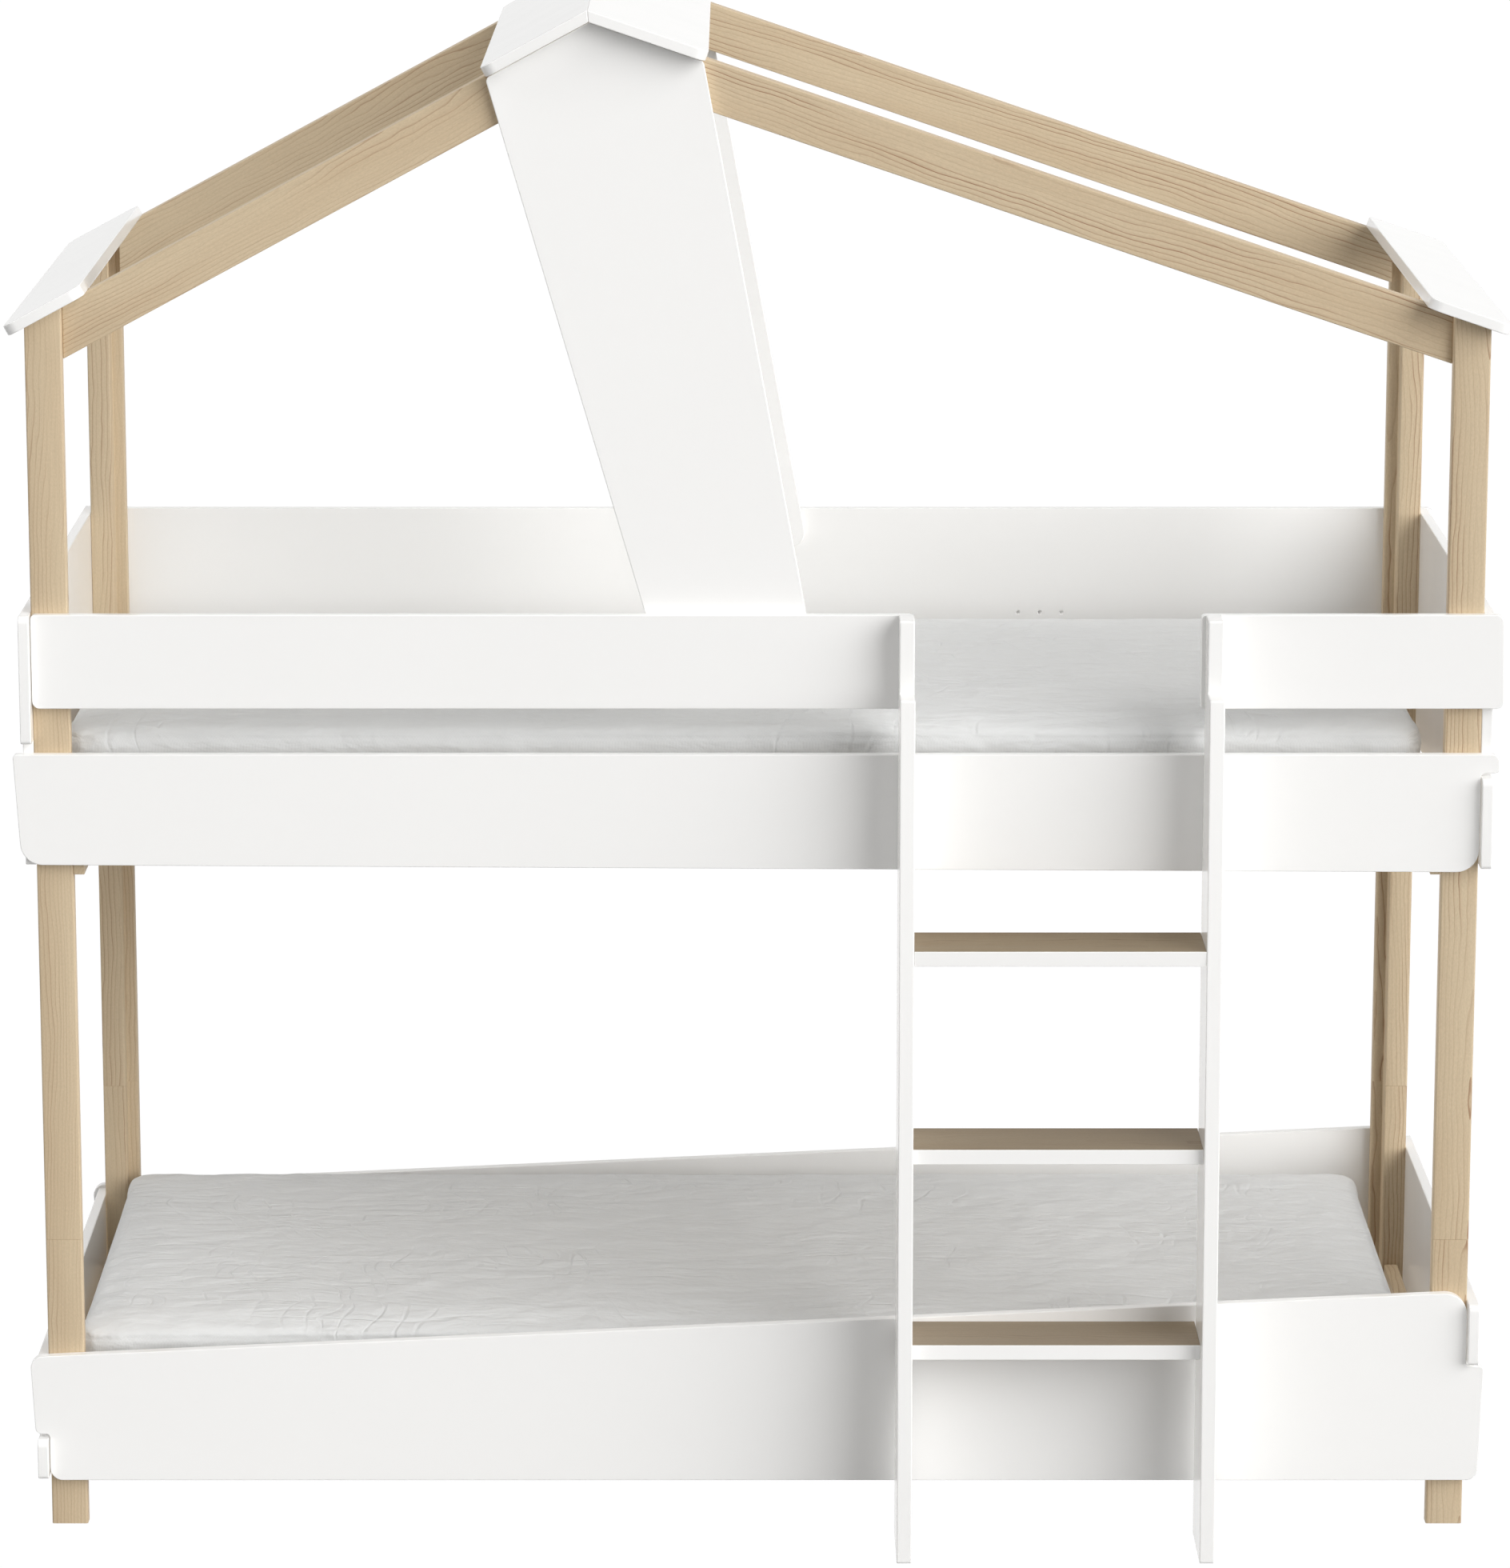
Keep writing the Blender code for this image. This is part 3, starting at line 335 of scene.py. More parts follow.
UPRIGHT = (0.0, math.pi / 2, 0.0)
POST_GRAIN = {
    ("front", "left"): ((0.034, -0.055), 0.50, 0.0055),
    ("front", "right"): ((0.048, 0.036), 1.0, 0.0065),
    ("back", "left"): ((-0.030, 0.062), 0.60, 0.0055),
    ("back", "right"): ((0.042, -0.046), 0.95, 0.0065),
}
for face, outside in (("front", FRONT_FACE), ("back", BACK_FACE)):
    inward = 1 if face == "front" else -1
    for side, sign in (("left", -1), ("right", 1)):
        edge = sign * POST_OUTSIDE
        inner = sign * (POST_OUTSIDE - POST_WIDTH)
        shoulder = sign * (POST_OUTSIDE - POST_REBATE[1])
        step = outside + inward * POST_REBATE[0]
        inside = outside + inward * POST_WIDTH
        section = sawn_outline([
            (edge, outside, POST_ARRIS),
            (inner, outside, POST_ARRIS),
            (inner, step, POST_ARRIS),
            (shoulder, step, 0.0008),
            (shoulder, inside, POST_ARRIS),
            (edge, inside, POST_ARRIS),
        ], 4)
        middle = (sign * (POST_OUTSIDE - POST_WIDTH / 2), outside + inward * POST_WIDTH / 2, 0.0)
        number = 2 * (face == "back") + (side == "right")
        seam_low, seam_high = POST_SEAM - HAIRLINE / 2, POST_SEAM + HAIRLINE / 2
        low = saw_board(f"post_{face}_{side}_low", section, "Z", 0.0, seam_low, POST_END)
        high = saw_board(f"post_{face}_{side}_high", section, "Z", seam_high, 1.4, POST_END)
        for corner in high.data.vertices:
            if corner.co.z > 1.0:
                corner.co.z = roof_line(corner.co.x) - HAIRLINE
        for length, piece in (("lower", low), ("upper", high)):
            pith, strength, ring = POST_GRAIN[face, side]
            along = 3.7 * number + (1.9 if length == "upper" else 0.0)
            wood = pine_finish(
                f"pine {face} {side} {length} post", middle, UPRIGHT, pith, along=along,
                strength=strength, warmth=0.42, ring=ring,
            )
            fit(piece, f"{length}_post_{face}_{side}", wood)
        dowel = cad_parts[f"post_dowel_{face}_{side}"]
        dowel.data.materials.clear()
        dowel.data.materials.append(wood)

# The gable frames: two pine rafters at front and back, butted between the posts and mitred at
# the ridge. They are set in by the thickness of the leaning gable board that lies over them.
RAFTER_DEPTH = 0.070
RAFTER_THICKNESS = 0.035
RAFTER_INSET = 0.0166
RAFTER_GRAIN = {"left": ((0.060, -0.050), 0.65, 0.0050), "right": ((0.014, -0.040), 1.0, 0.0068)}
foot = POST_OUTSIDE - POST_WIDTH - HAIRLINE
left_drop = RAFTER_DEPTH * math.hypot(1, LEFT_SLOPE)
right_drop = RAFTER_DEPTH * math.hypot(1, RIGHT_SLOPE)
under_x = RIDGE[0] + (left_drop - right_drop) / (LEFT_SLOPE - RIGHT_SLOPE)
under_z = RIDGE[1] - left_drop + LEFT_SLOPE * (under_x - RIDGE[0])
rafter_shapes = {
    "left": [
        (-foot, roof_line(-foot) - HAIRLINE), (RIDGE[0] - HAIRLINE, RIDGE[1] - HAIRLINE),
        (under_x - HAIRLINE, under_z), (-foot, roof_line(-foot) - left_drop),
    ],
    "right": [
        (RIDGE[0] + HAIRLINE, RIDGE[1] - HAIRLINE), (foot, roof_line(foot) - HAIRLINE),
        (foot, roof_line(foot) - right_drop), (under_x + HAIRLINE, under_z),
    ],
}
for face in ("front", "back"):
    for side, shape in rafter_shapes.items():
        if face == "front":
            low, high = FRONT_FACE + RAFTER_INSET, FRONT_FACE + RAFTER_INSET + RAFTER_THICKNESS
        else:
            low, high = BACK_FACE - RAFTER_INSET - RAFTER_THICKNESS, BACK_FACE - RAFTER_INSET
        rafter = saw_board(f"gable_rafter_{face}_{side}", shape, "Y", low, high, SANDED)
        slope = LEFT_SLOPE if side == "left" else RIGHT_SLOPE
        middle = (sum(x for x, z in shape) / 4, (low + high) / 2, sum(z for x, z in shape) / 4)
        turn = (0.0, math.atan(slope), 0.0)
        seat = {"left": 0.8, "right": 6.1}[side] + (11.3 if face == "back" else 0.0)
        pith, strength, ring = RAFTER_GRAIN[side]
        wood = pine_finish(
            f"pine {face} {side} rafter", middle, turn, pith, along=seat,
            strength=strength, warmth=0.45, ring=ring,
        )
        fit(rafter, f"rafter_{face}_{side}", wood)

# The white boards are smooth panels, sawn to shape, sanded and sprayed with satin white paint,
# which pools to a fine orange peel. Two of them lean up the gables, one in front of each.
PAINT_WHITE = (0.890, 0.883, 0.868)
BOARD = 0.016


def make_paint_film():
    """Sprayed satin paint: fine orange peel and a very slow drift in tone and gloss."""
    tree, given = new_figure("sprayed paint film", Colour="Color")
    place = given["Place"]
    drift = stretched_noise(tree, place, (3.0, 3.0, 3.0), 3.0).outputs[0]
    peel = stretched_noise(tree, place, (420.0, 420.0, 420.0), 1.0).outputs[0]
    speck = stretched_noise(tree, place, (1500.0, 1500.0, 1500.0), 0.0).outputs[0]
    tone = math_of(tree, "MULTIPLY_ADD", drift, 0.016, 0.992)
    tone = math_of(tree, "MULTIPLY", tone, math_of(tree, "MULTIPLY_ADD", speck, 0.02, 0.99))
    rough = math_of(tree, "MULTIPLY_ADD", drift, 0.08, 0.13)
    return close_figure(tree, dim(tree, given["Colour"], tone), rough, peel)


paint, tree, shader = new_finish("satin white paint")
film = make_paint_film()
film = use_figure(tree, shader, film, object_place(tree), strength=0.05, distance=0.0003)
film.inputs["Colour"].default_value = (*PAINT_WHITE, 1.0)
shader.inputs["Specular IOR Level"].default_value = 0.5

GABLE_FOOT = 1.330
GABLE_FOOT_X = (-0.1452, 0.0833)
GABLE_HEAD_X = (-0.3915, -0.0778)
GABLE_DROP = 0.004
GABLE_ROUNDS = (0.022, 0.008)
gable_shape = sawn_outline([
    (GABLE_FOOT_X[0], GABLE_FOOT, GABLE_ROUNDS[0]), (GABLE_FOOT_X[1], GABLE_FOOT, GABLE_ROUNDS[0]),
    (GABLE_HEAD_X[1], roof_line(GABLE_HEAD_X[1]) - GABLE_DROP, GABLE_ROUNDS[1]),
    (RIDGE[0], RIDGE[1] - GABLE_DROP, 0),
    (GABLE_HEAD_X[0], roof_line(GABLE_HEAD_X[0]) - GABLE_DROP, GABLE_ROUNDS[1]),
])
for face, low, high in (
    ("front", FRONT_FACE + HAIRLINE, FRONT_FACE + BOARD + HAIRLINE),
    ("back", BACK_FACE - BOARD - HAIRLINE, BACK_FACE - HAIRLINE),
):
    panel = saw_board(f"leaning_board_{face}", gable_shape, "Y", low, high, SANDED)
    fit(panel, f"gable_board_{face}", paint)

# The caps are four white plates that lie on the rafters like a roof: two mitred over the ridge
# and one at each eave, with the plan corners of their free ends rounded.
CAP_LINE = (FRONT_FACE - 0.036, BACK_FACE - 0.024)
CAP_ROUND = 0.020
EAVE_OVERHANG = 0.028
RIDGE_CAPS = (0.148, 0.167)
EAVE_CAPS = (0.112, 0.119)


def roof_plate(name, low_x, high_x, round_low, round_high):
    """A plate in the roof's plane: its plan is sawn flat, then laid on the slope."""
    slope = LEFT_SLOPE if high_x <= RIDGE[0] else RIGHT_SLOPE
    cosine = 1 / math.hypot(1, slope)
    length = (high_x - low_x) / cosine
    plan = sawn_outline([
        (0, CAP_LINE[0], CAP_ROUND * round_low), (length, CAP_LINE[0], CAP_ROUND * round_high),
        (length, CAP_LINE[1], CAP_ROUND * round_high), (0, CAP_LINE[1], CAP_ROUND * round_low),
    ])
    plate = saw_board(name, plan, "Z", 0.0, BOARD, SANDED)
    top_x, top_z = mitre
    for corner in plate.data.vertices:
        along, y, up = corner.co
        x = low_x + cosine * along - slope * cosine * up
        z = roof_line(low_x) + slope * cosine * along + cosine * up
        share = up / BOARD
        if abs(high_x - RIDGE[0]) < HAIRLINE and along > length - HAIRLINE:
            x = RIDGE[0] + (top_x - RIDGE[0]) * share - HAIRLINE / 2
            z = RIDGE[1] + (top_z - RIDGE[1]) * share
        if abs(low_x - RIDGE[0]) < HAIRLINE and along < HAIRLINE:
            x = RIDGE[0] + (top_x - RIDGE[0]) * share + HAIRLINE / 2
            z = RIDGE[1] + (top_z - RIDGE[1]) * share
        corner.co = (x, y, z)
    return plate


left_rise = BOARD * math.hypot(1, LEFT_SLOPE)
right_rise = BOARD * math.hypot(1, RIGHT_SLOPE)
top_shift = (right_rise - left_rise) / (LEFT_SLOPE - RIGHT_SLOPE)
mitre = (RIDGE[0] + top_shift, RIDGE[1] + left_rise + LEFT_SLOPE * top_shift)
left_eave = -POST_OUTSIDE - EAVE_OVERHANG + BOARD * LEFT_SLOPE / math.hypot(1, LEFT_SLOPE)
right_eave = POST_OUTSIDE + EAVE_OVERHANG + BOARD * RIGHT_SLOPE / math.hypot(1, RIGHT_SLOPE)
for node, low_x, high_x, round_low, round_high in (
    ("ridge_cap_left", RIDGE[0] - RIDGE_CAPS[0], RIDGE[0], 1, 0),
    ("ridge_cap_right", RIDGE[0], RIDGE[0] + RIDGE_CAPS[1], 0, 1),
    ("eave_cap_left", left_eave, left_eave + EAVE_CAPS[0], 1, 1),
    ("eave_cap_right", right_eave - EAVE_CAPS[1], right_eave, 1, 1),
):
    plate = roof_plate(node.replace("cap", "plate"), low_x, high_x, round_low, round_high)
    fit(plate, node, paint)

# The long boards are screwed to the posts from outside, and the end boards lock into them at the
# corners: where one has a finger the other is cut back, so they cross like a halved joint.
FINGER_END = POST_OUTSIDE + BOARD + 0.014
BOARD_END = POST_OUTSIDE - 0.001
RAIL_TOP = 1.188
GUARD_FOOT = 1.2565
GUARD_TOP = 1.396
BACK_TOP = 1.3895
LOWER_FOOT = 0.0735
LADDER_CLEAR = (0.228, 0.654)
GUARD_GAP = (LADDER_CLEAR[0] - 0.001, LADDER_CLEAR[1] - 0.006)
RAIL_FOOT = (1.022, 1.011)
FOOT_INSET = 0.010
UPPER_LOCK = 1.160
LOWER_LOCK = (0.146, 0.252)
WIDE_ROUND = 0.033
FOOT_ROUND = 0.018
FINGER_ROUND = 0.011
SMALL_ROUND = 0.006
PILOT_FIRST = (0.423, 1.2195)
PILOT_PITCH = 0.035
PILOT_RADIUS = 0.003
PILOT_DEPTH = 0.011


def lower_board(left_top, right_top):
    reach = FINGER_END - 0.004
    return sawn_outline([
        (-BOARD_END, LOWER_FOOT, FOOT_ROUND), (reach - 0.006, LOWER_FOOT, FOOT_ROUND),
        (reach, LOWER_LOCK[1], SMALL_ROUND), (BOARD_END, LOWER_LOCK[1], SMALL_ROUND),
        (BOARD_END, right_top, WIDE_ROUND), (-reach, left_top, FOOT_ROUND),
        (-reach + 0.006, LOWER_LOCK[0], FINGER_ROUND), (-BOARD_END, LOWER_LOCK[0], SMALL_ROUND),
    ])


def drill(board, places):
    """Drill blind pilot holes into a board's inner face, before its edges are sanded."""
    bits = bmesh.new()
    for place in places:
        turn = Euler((math.pi / 2, 0, 0)).to_matrix().to_4x4()
        turn.translation = place
        bmesh.ops.create_cone(
            bits, cap_ends=True, segments=24, radius1=PILOT_RADIUS, radius2=PILOT_RADIUS,
            depth=2 * PILOT_DEPTH, matrix=turn,
        )
    mesh = bpy.data.meshes.new("drill bits")
    bits.to_mesh(mesh)
    bits.free()
    tool = bpy.data.objects.new("drill bits", mesh)
    bpy.context.scene.collection.objects.link(tool)
    board.modifiers.clear()
    cut = board.modifiers.new("drilled", "BOOLEAN")
    cut.object = tool
    cut.operation = "DIFFERENCE"
    cut.solver = "EXACT"
    plain_mesh(board)
    bpy.data.objects.remove(tool)
    soften_edges(board, 0.0010)


long_boards = {
    "upper_front_rail": ("front", sawn_outline([
        (-FINGER_END + FOOT_INSET, RAIL_FOOT[0], WIDE_ROUND), (BOARD_END, RAIL_FOOT[1], WIDE_ROUND),
        (BOARD_END, UPPER_LOCK, SMALL_ROUND), (FINGER_END - 0.004, UPPER_LOCK, SMALL_ROUND),
        (FINGER_END - 0.004, RAIL_TOP, FINGER_ROUND), (-FINGER_END, RAIL_TOP, SMALL_ROUND),
    ])),
    "upper_back_panel": ("back", sawn_outline([
        (-FINGER_END + FOOT_INSET, RAIL_FOOT[0], WIDE_ROUND), (BOARD_END, RAIL_FOOT[1], WIDE_ROUND),
        (BOARD_END, UPPER_LOCK, SMALL_ROUND), (FINGER_END, UPPER_LOCK, SMALL_ROUND),
        (FINGER_END - 0.003, BACK_TOP, FINGER_ROUND), (-BOARD_END, BACK_TOP, SMALL_ROUND),
        (-BOARD_END, RAIL_TOP, SMALL_ROUND), (-FINGER_END, RAIL_TOP, SMALL_ROUND),
    ])),
    "lower_front_panel": ("front", lower_board(0.2665, 0.3670)),
    "lower_back_panel": ("back", lower_board(0.2620, 0.3615)),
    "guard_left": ("front", sawn_outline([
        (-BOARD_END, GUARD_FOOT, FINGER_ROUND), (GUARD_GAP[0], GUARD_FOOT, SMALL_ROUND),
        (GUARD_GAP[0], GUARD_TOP, SMALL_ROUND), (-BOARD_END, GUARD_TOP, SMALL_ROUND),
    ])),
    "guard_right": ("front", sawn_outline([
        (GUARD_GAP[1], GUARD_FOOT, SMALL_ROUND), (FINGER_END, GUARD_FOOT, FINGER_ROUND),
        (FINGER_END - 0.003, GUARD_TOP, FINGER_ROUND), (GUARD_GAP[1], GUARD_TOP, SMALL_ROUND),
    ])),
}
for node, (face, shape) in long_boards.items():
    low = FRONT_FACE - BOARD if face == "front" else BACK_FACE
    board = saw_board(f"{node}_board", shape, "Y", low, low + BOARD, SANDED)
    if node == "upper_back_panel":
        first_x, height = PILOT_FIRST
        drill(board, [(first_x + PILOT_PITCH * number, low, height) for number in range(3)])
    fit(board, node, paint)

FINGER_REACH = BOARD + 0.016
UPPER_END_FOOT = 1.019
LOWER_END_FOOT = 0.080


def end_shape(bottom, tops, finger_low, finger_high):
    """An end board seen from the right, with a finger past the long boards at front and back."""
    front, back = FRONT_FACE + HAIRLINE, BACK_FACE - HAIRLINE
    corners = []
    if finger_low > bottom:
        corners += [(front, bottom, 0.0), (back, bottom, 0.0), (back, finger_low, 0.0)]
    far, near = BACK_FACE + FINGER_REACH, FRONT_FACE - FINGER_REACH
    corners += [(far, finger_low, SMALL_ROUND), (far, min(finger_high, tops[1]), FINGER_ROUND)]
    if finger_high < tops[1]:
        corners += [(back, finger_high, 0.0), (back, tops[1], 0.0)]
    if finger_high < tops[0]:
        corners += [(front, tops[0], 0.0), (front, finger_high, 0.0)]
    corners += [(near, min(finger_high, tops[0]), FINGER_ROUND), (near, finger_low, SMALL_ROUND)]
    if finger_low > bottom:
        corners += [(front, finger_low, 0.0)]
    return sawn_outline(corners)


for node, sign, shape in (
    ("upper_end_left", -1, end_shape(UPPER_END_FOOT, (GUARD_TOP, BACK_TOP), 1.206, GUARD_TOP)),
    ("upper_end_right", 1, end_shape(UPPER_END_FOOT, (GUARD_TOP, BACK_TOP), UPPER_END_FOOT, 1.154)),
    ("lower_end_left", -1, end_shape(LOWER_END_FOOT, (0.264, 0.258), LOWER_END_FOOT, 0.140)),
    ("lower_end_right", 1, end_shape(LOWER_END_FOOT, (0.351, 0.340), 0.258, 0.351)),
):
    near, far = sorted((sign * (POST_OUTSIDE + HAIRLINE), sign * (POST_OUTSIDE + BOARD)))
    fit(saw_board(f"{node}_board", shape, "X", near, far, SANDED), node, paint)

# Inside the frame, pine cross boards stiffen the upper bunk beside its posts, pine rails close
# the ends of the lower bunk, and pine ledgers on the long boards carry both slatted bases.
CROSSWISE = (0.0, 0.0, -math.pi / 2)
LENGTHWISE = (0.0, 0.0, 0.0)
RAIL_ROUND = 0.005
for side in ("left", "right"):
    low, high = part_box(f"cross_board_{side}")
    shape = [(low.y, low.z), (high.y, low.z), (high.y, high.z), (low.y, high.z)]
    cross = saw_board(f"cross_brace_{side}", shape, "X", low.x, high.x, 0.0012)
    middle = (low + high) / 2
    wood = pine_finish(
        f"pine {side} cross board", middle, CROSSWISE, pith=(0.03, 0.05), along=4.0 + low.x,
        strength=0.6, warmth=0.5,
    )
    fit(cross, f"cross_board_{side}", wood)
    low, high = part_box(f"end_rail_{side}")
    plan = [(low.x, low.y), (high.x, low.y), (high.x, high.y), (low.x, high.y)]
    shape = sawn_outline([(x, y, RAIL_ROUND) for x, y in plan], 5)
    rail = saw_board(f"end_bar_{side}", shape, "Z", low.z, high.z, SANDED)
    middle = (low + high) / 2
    wood = pine_finish(
        f"pine {side} end rail", middle, CROSSWISE, pith=(0.05, 0.04), along=2.0 + low.x,
        strength=0.6, warmth=0.5,
    )
    fit(rail, f"end_rail_{side}", wood)
ledgers = ("ledger_upper_front", "ledger_upper_back", "ledger_lower_front", "ledger_lower_back")
for number, node in enumerate(ledgers):
    low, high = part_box(node)
    shape = [(low.y, low.z), (high.y, low.z), (high.y, high.z), (low.y, high.z)]
    bearer = saw_board(node.replace("ledger", "bearer"), shape, "X", low.x, high.x, SANDED)
    middle = (low + high) / 2
    wood = pine_finish(
        f"pine bearer {number}", middle, LENGTHWISE, pith=(0.04, -0.05), along=5.0 * number,
        strength=0.7, warmth=0.55,
    )
    fit(bearer, node, wood)

# Each slatted base is a roll: fourteen planed pine slats, stapled to two bands of woven webbing
# that keep them evenly apart. It rolls out on the ledgers under the mattress.
SLAT_COUNT = 14
SLAT_WIDTH = 0.080
SLAT_THICKNESS = 0.018
WEBBING = (0.025, 0.002)
WEBBING_INSET = 0.180


def make_bar_row():
    """A row of like bars: each one a rounded section run along a straight line."""
    tree = bpy.data.node_groups.new("row of bars", "GeometryNodeTree")
    face = tree.interface
    face.new_socket("Geometry", in_out="OUTPUT", socket_type="NodeSocketGeometry")
    for name, kind in (
        ("Count", "NodeSocketInt"), ("First", "NodeSocketVector"), ("Step", "NodeSocketVector"),
        ("Run", "NodeSocketVector"), ("Width", "NodeSocketFloat"), ("Height", "NodeSocketFloat"),
        ("Rounding", "NodeSocketFloat"), ("Finish", "NodeSocketMaterial"),
    ):
        face.new_socket(name, in_out="INPUT", socket_type=kind)
    given = tree.nodes.new("NodeGroupInput").outputs
    places = tree.nodes.new("GeometryNodeMeshLine")
    tree.links.new(given["Count"], places.inputs["Count"])
    tree.links.new(given["First"], places.inputs["Start Location"])
    tree.links.new(given["Step"], places.inputs["Offset"])
    section = tree.nodes.new("GeometryNodeCurvePrimitiveQuadrilateral")
    tree.links.new(given["Width"], section.inputs["Width"])
    tree.links.new(given["Height"], section.inputs["Height"])
    eased = tree.nodes.new("GeometryNodeFilletCurve")
    if "Mode" in eased.inputs:
        eased.inputs["Mode"].default_value = "Poly"
    else:
        eased.mode = "POLY"
    tree.links.new(section.outputs[0], eased.inputs["Curve"])
    eased.inputs["Count"].default_value = 3
    tree.links.new(given["Rounding"], eased.inputs["Radius"])
    line = tree.nodes.new("GeometryNodeCurvePrimitiveLine")
    tree.links.new(given["Run"], line.inputs["End"])
    level = tree.nodes.new("GeometryNodeSetCurveNormal")
    if "Mode" in level.inputs:
        level.inputs["Mode"].default_value = "Z Up"
    else:
        level.mode = "Z_UP"
    tree.links.new(line.outputs[0], level.inputs["Curve"])
    bar = tree.nodes.new("GeometryNodeCurveToMesh")
    tree.links.new(level.outputs[0], bar.inputs["Curve"])
    tree.links.new(eased.outputs[0], bar.inputs["Profile Curve"])
    bar.inputs["Fill Caps"].default_value = True
    spread = tree.nodes.new("GeometryNodeInstanceOnPoints")
    tree.links.new(places.outputs[0], spread.inputs["Points"])
    tree.links.new(bar.outputs[0], spread.inputs["Instance"])
    real = tree.nodes.new("GeometryNodeRealizeInstances")
    tree.links.new(spread.outputs[0], real.inputs[0])
    finish = tree.nodes.new("GeometryNodeSetMaterial")
    tree.links.new(real.outputs[0], finish.inputs["Geometry"])
    tree.links.new(given["Finish"], finish.inputs["Material"])
    out = tree.nodes.new("NodeGroupOutput")
    tree.links.new(finish.outputs[0], out.inputs[0])
    return tree


bar_row = make_bar_row()


def row_of_bars(name, finish, **sizes):
    """Run the tree with the given sizes and keep its result as a plain mesh."""
    piece = bpy.data.objects.new(name, bpy.data.meshes.new(name))
    bpy.context.scene.collection.objects.link(piece)
    nodes = piece.modifiers.new("bars", "NODES")
    nodes.node_group = bar_row
    for item in bar_row.interface.items_tree:
        if item.in_out == "INPUT":
            key = item.name.lower()
            nodes[item.identifier] = finish if key == "finish" else sizes[key]
    bpy.context.view_layer.update()
    plain_mesh(piece)
    shape = bmesh.new()
    shape.from_mesh(piece.data)
    bmesh.ops.remove_doubles(shape, verts=shape.verts, dist=1e-6)
    bmesh.ops.recalc_face_normals(shape, faces=shape.faces)
    shape.to_mesh(piece.data)
    shape.free()
    piece.data.shade_smooth()
    piece.data.set_sharp_from_angle(angle=math.radians(40))
    return piece


def woven_finish(name, colour, pitch, strength):
    """Plain weave on object coordinates: two sets of threads that pass over and under."""
    finish, tree, shader = new_finish(name)
    spot = separate(tree, object_place(tree))
    turns = math.tau / pitch
    warp = math_of(tree, "SINE", math_of(tree, "MULTIPLY", spot[0], turns))
    weft = math_of(tree, "SINE", math_of(tree, "MULTIPLY", spot[1], turns))
    weave = math_of(tree, "MULTIPLY_ADD", math_of(tree, "MULTIPLY", warp, weft), 0.5, 0.5)
    shade = math_of(tree, "MULTIPLY_ADD", weave, 0.2, 0.85)
    tint = wire(tree, "ShaderNodeCombineXYZ", shade, shade, shade)
    tint = wire(tree, "ShaderNodeVectorMath", tint, colour, operation="MULTIPLY")
    tree.links.new(tint, shader.inputs["Base Color"])
    tree.links.new(add_relief(tree, weave, strength, pitch / 3), shader.inputs["Normal"])
    shader.inputs["Roughness"].default_value = 0.85
    return finish


webbing_cloth = woven_finish("woven webbing", (0.62, 0.60, 0.55), pitch=0.0022, strength=0.6)
zinc_steel, tree, shader = new_finish("zinc plated steel")
bloom = stretched_noise(tree, object_place(tree), (260.0, 260.0, 260.0), 3.0).outputs[0]
zinc = blend_colour(tree, bloom, (0.48, 0.49, 0.52), (0.66, 0.65, 0.62))
tree.links.new(zinc, shader.inputs["Base Color"])
tree.links.new(math_of(tree, "MULTIPLY_ADD", bloom, 0.30, 0.20), shader.inputs["Roughness"])
shader.inputs["Metallic"].default_value = 1.0
for bunk in ("upper", "lower"):
    low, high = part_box(f"slat_base_{bunk}")
    slat_top = high.z - WEBBING[1] / 2
    step = (high.x - low.x - SLAT_WIDTH) / (SLAT_COUNT - 1)
    middle = ((low.x + high.x) / 2, 0, slat_top)
    slat_pine = pine_finish(
        f"pine {bunk} slats", middle, CROSSWISE, pith=(0.0, -0.07), along=9.0,
        strength=0.8, warmth=0.5,
    )
    slats = row_of_bars(
        f"slats_{bunk}", slat_pine, count=SLAT_COUNT, step=(step, 0, 0), run=(0, high.y - low.y, 0),
        first=(low.x + SLAT_WIDTH / 2, low.y, slat_top - SLAT_THICKNESS / 2),
        width=SLAT_WIDTH, height=SLAT_THICKNESS, rounding=0.003,
    )
    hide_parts(f"slat_base_{bunk}")
    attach(slats, "bed")
    for number, y in enumerate((FRONT_FACE + WEBBING_INSET, BACK_FACE - WEBBING_INSET)):
        band = row_of_bars(
            f"webbing_{bunk}_{number}", webbing_cloth, count=1, step=(1, 0, 0),
            run=(high.x - low.x - WEBBING[0], 0, 0), first=(low.x + WEBBING[0] / 2, y, slat_top),
            width=WEBBING[0], height=WEBBING[1], rounding=0.0008,
        )
        staples = row_of_bars(
            f"staples_{bunk}_{number}", zinc_steel, count=SLAT_COUNT, step=(step, 0, 0),
            run=(0, 0.010, 0), first=(low.x + SLAT_WIDTH / 2, y - 0.005, slat_top + WEBBING[1] / 2),
            width=0.0012, height=0.0005, rounding=0.0002,
        )
        for piece, slot in ((band, "pine"), (staples, "zinc_steel")):
            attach(piece, "bed")

# The ladder: two white stiles, sawn from board with a stepped head and a foot that slants out,
# hold three pine treads whose front edges are painted white. Bolts hold it from inside the bed.
STILE = 0.022
STILE_ROUND = 0.004
STILE_FOOT = (0.184, 0.045)
STILE_HEAD = (0.072, 1.398)
STILE_STEP = (0.121, 1.290)
stile_back = FRONT_FACE - BOARD - HAIRLINE
stile_side = sawn_outline([
    (FRONT_FACE - STILE_FOOT[0], 0, STILE_ROUND), (FRONT_FACE - STILE_FOOT[1], 0, STILE_ROUND),
    (stile_back, RAIL_FOOT[1], 0), (stile_back, STILE_HEAD[1], STILE_ROUND),
    (FRONT_FACE - STILE_HEAD[0], STILE_HEAD[1], STILE_ROUND),
    (FRONT_FACE - STILE_HEAD[0], STILE_STEP[1], STILE_ROUND),
    (FRONT_FACE - STILE_STEP[0], STILE_STEP[1], STILE_ROUND),
], 6)
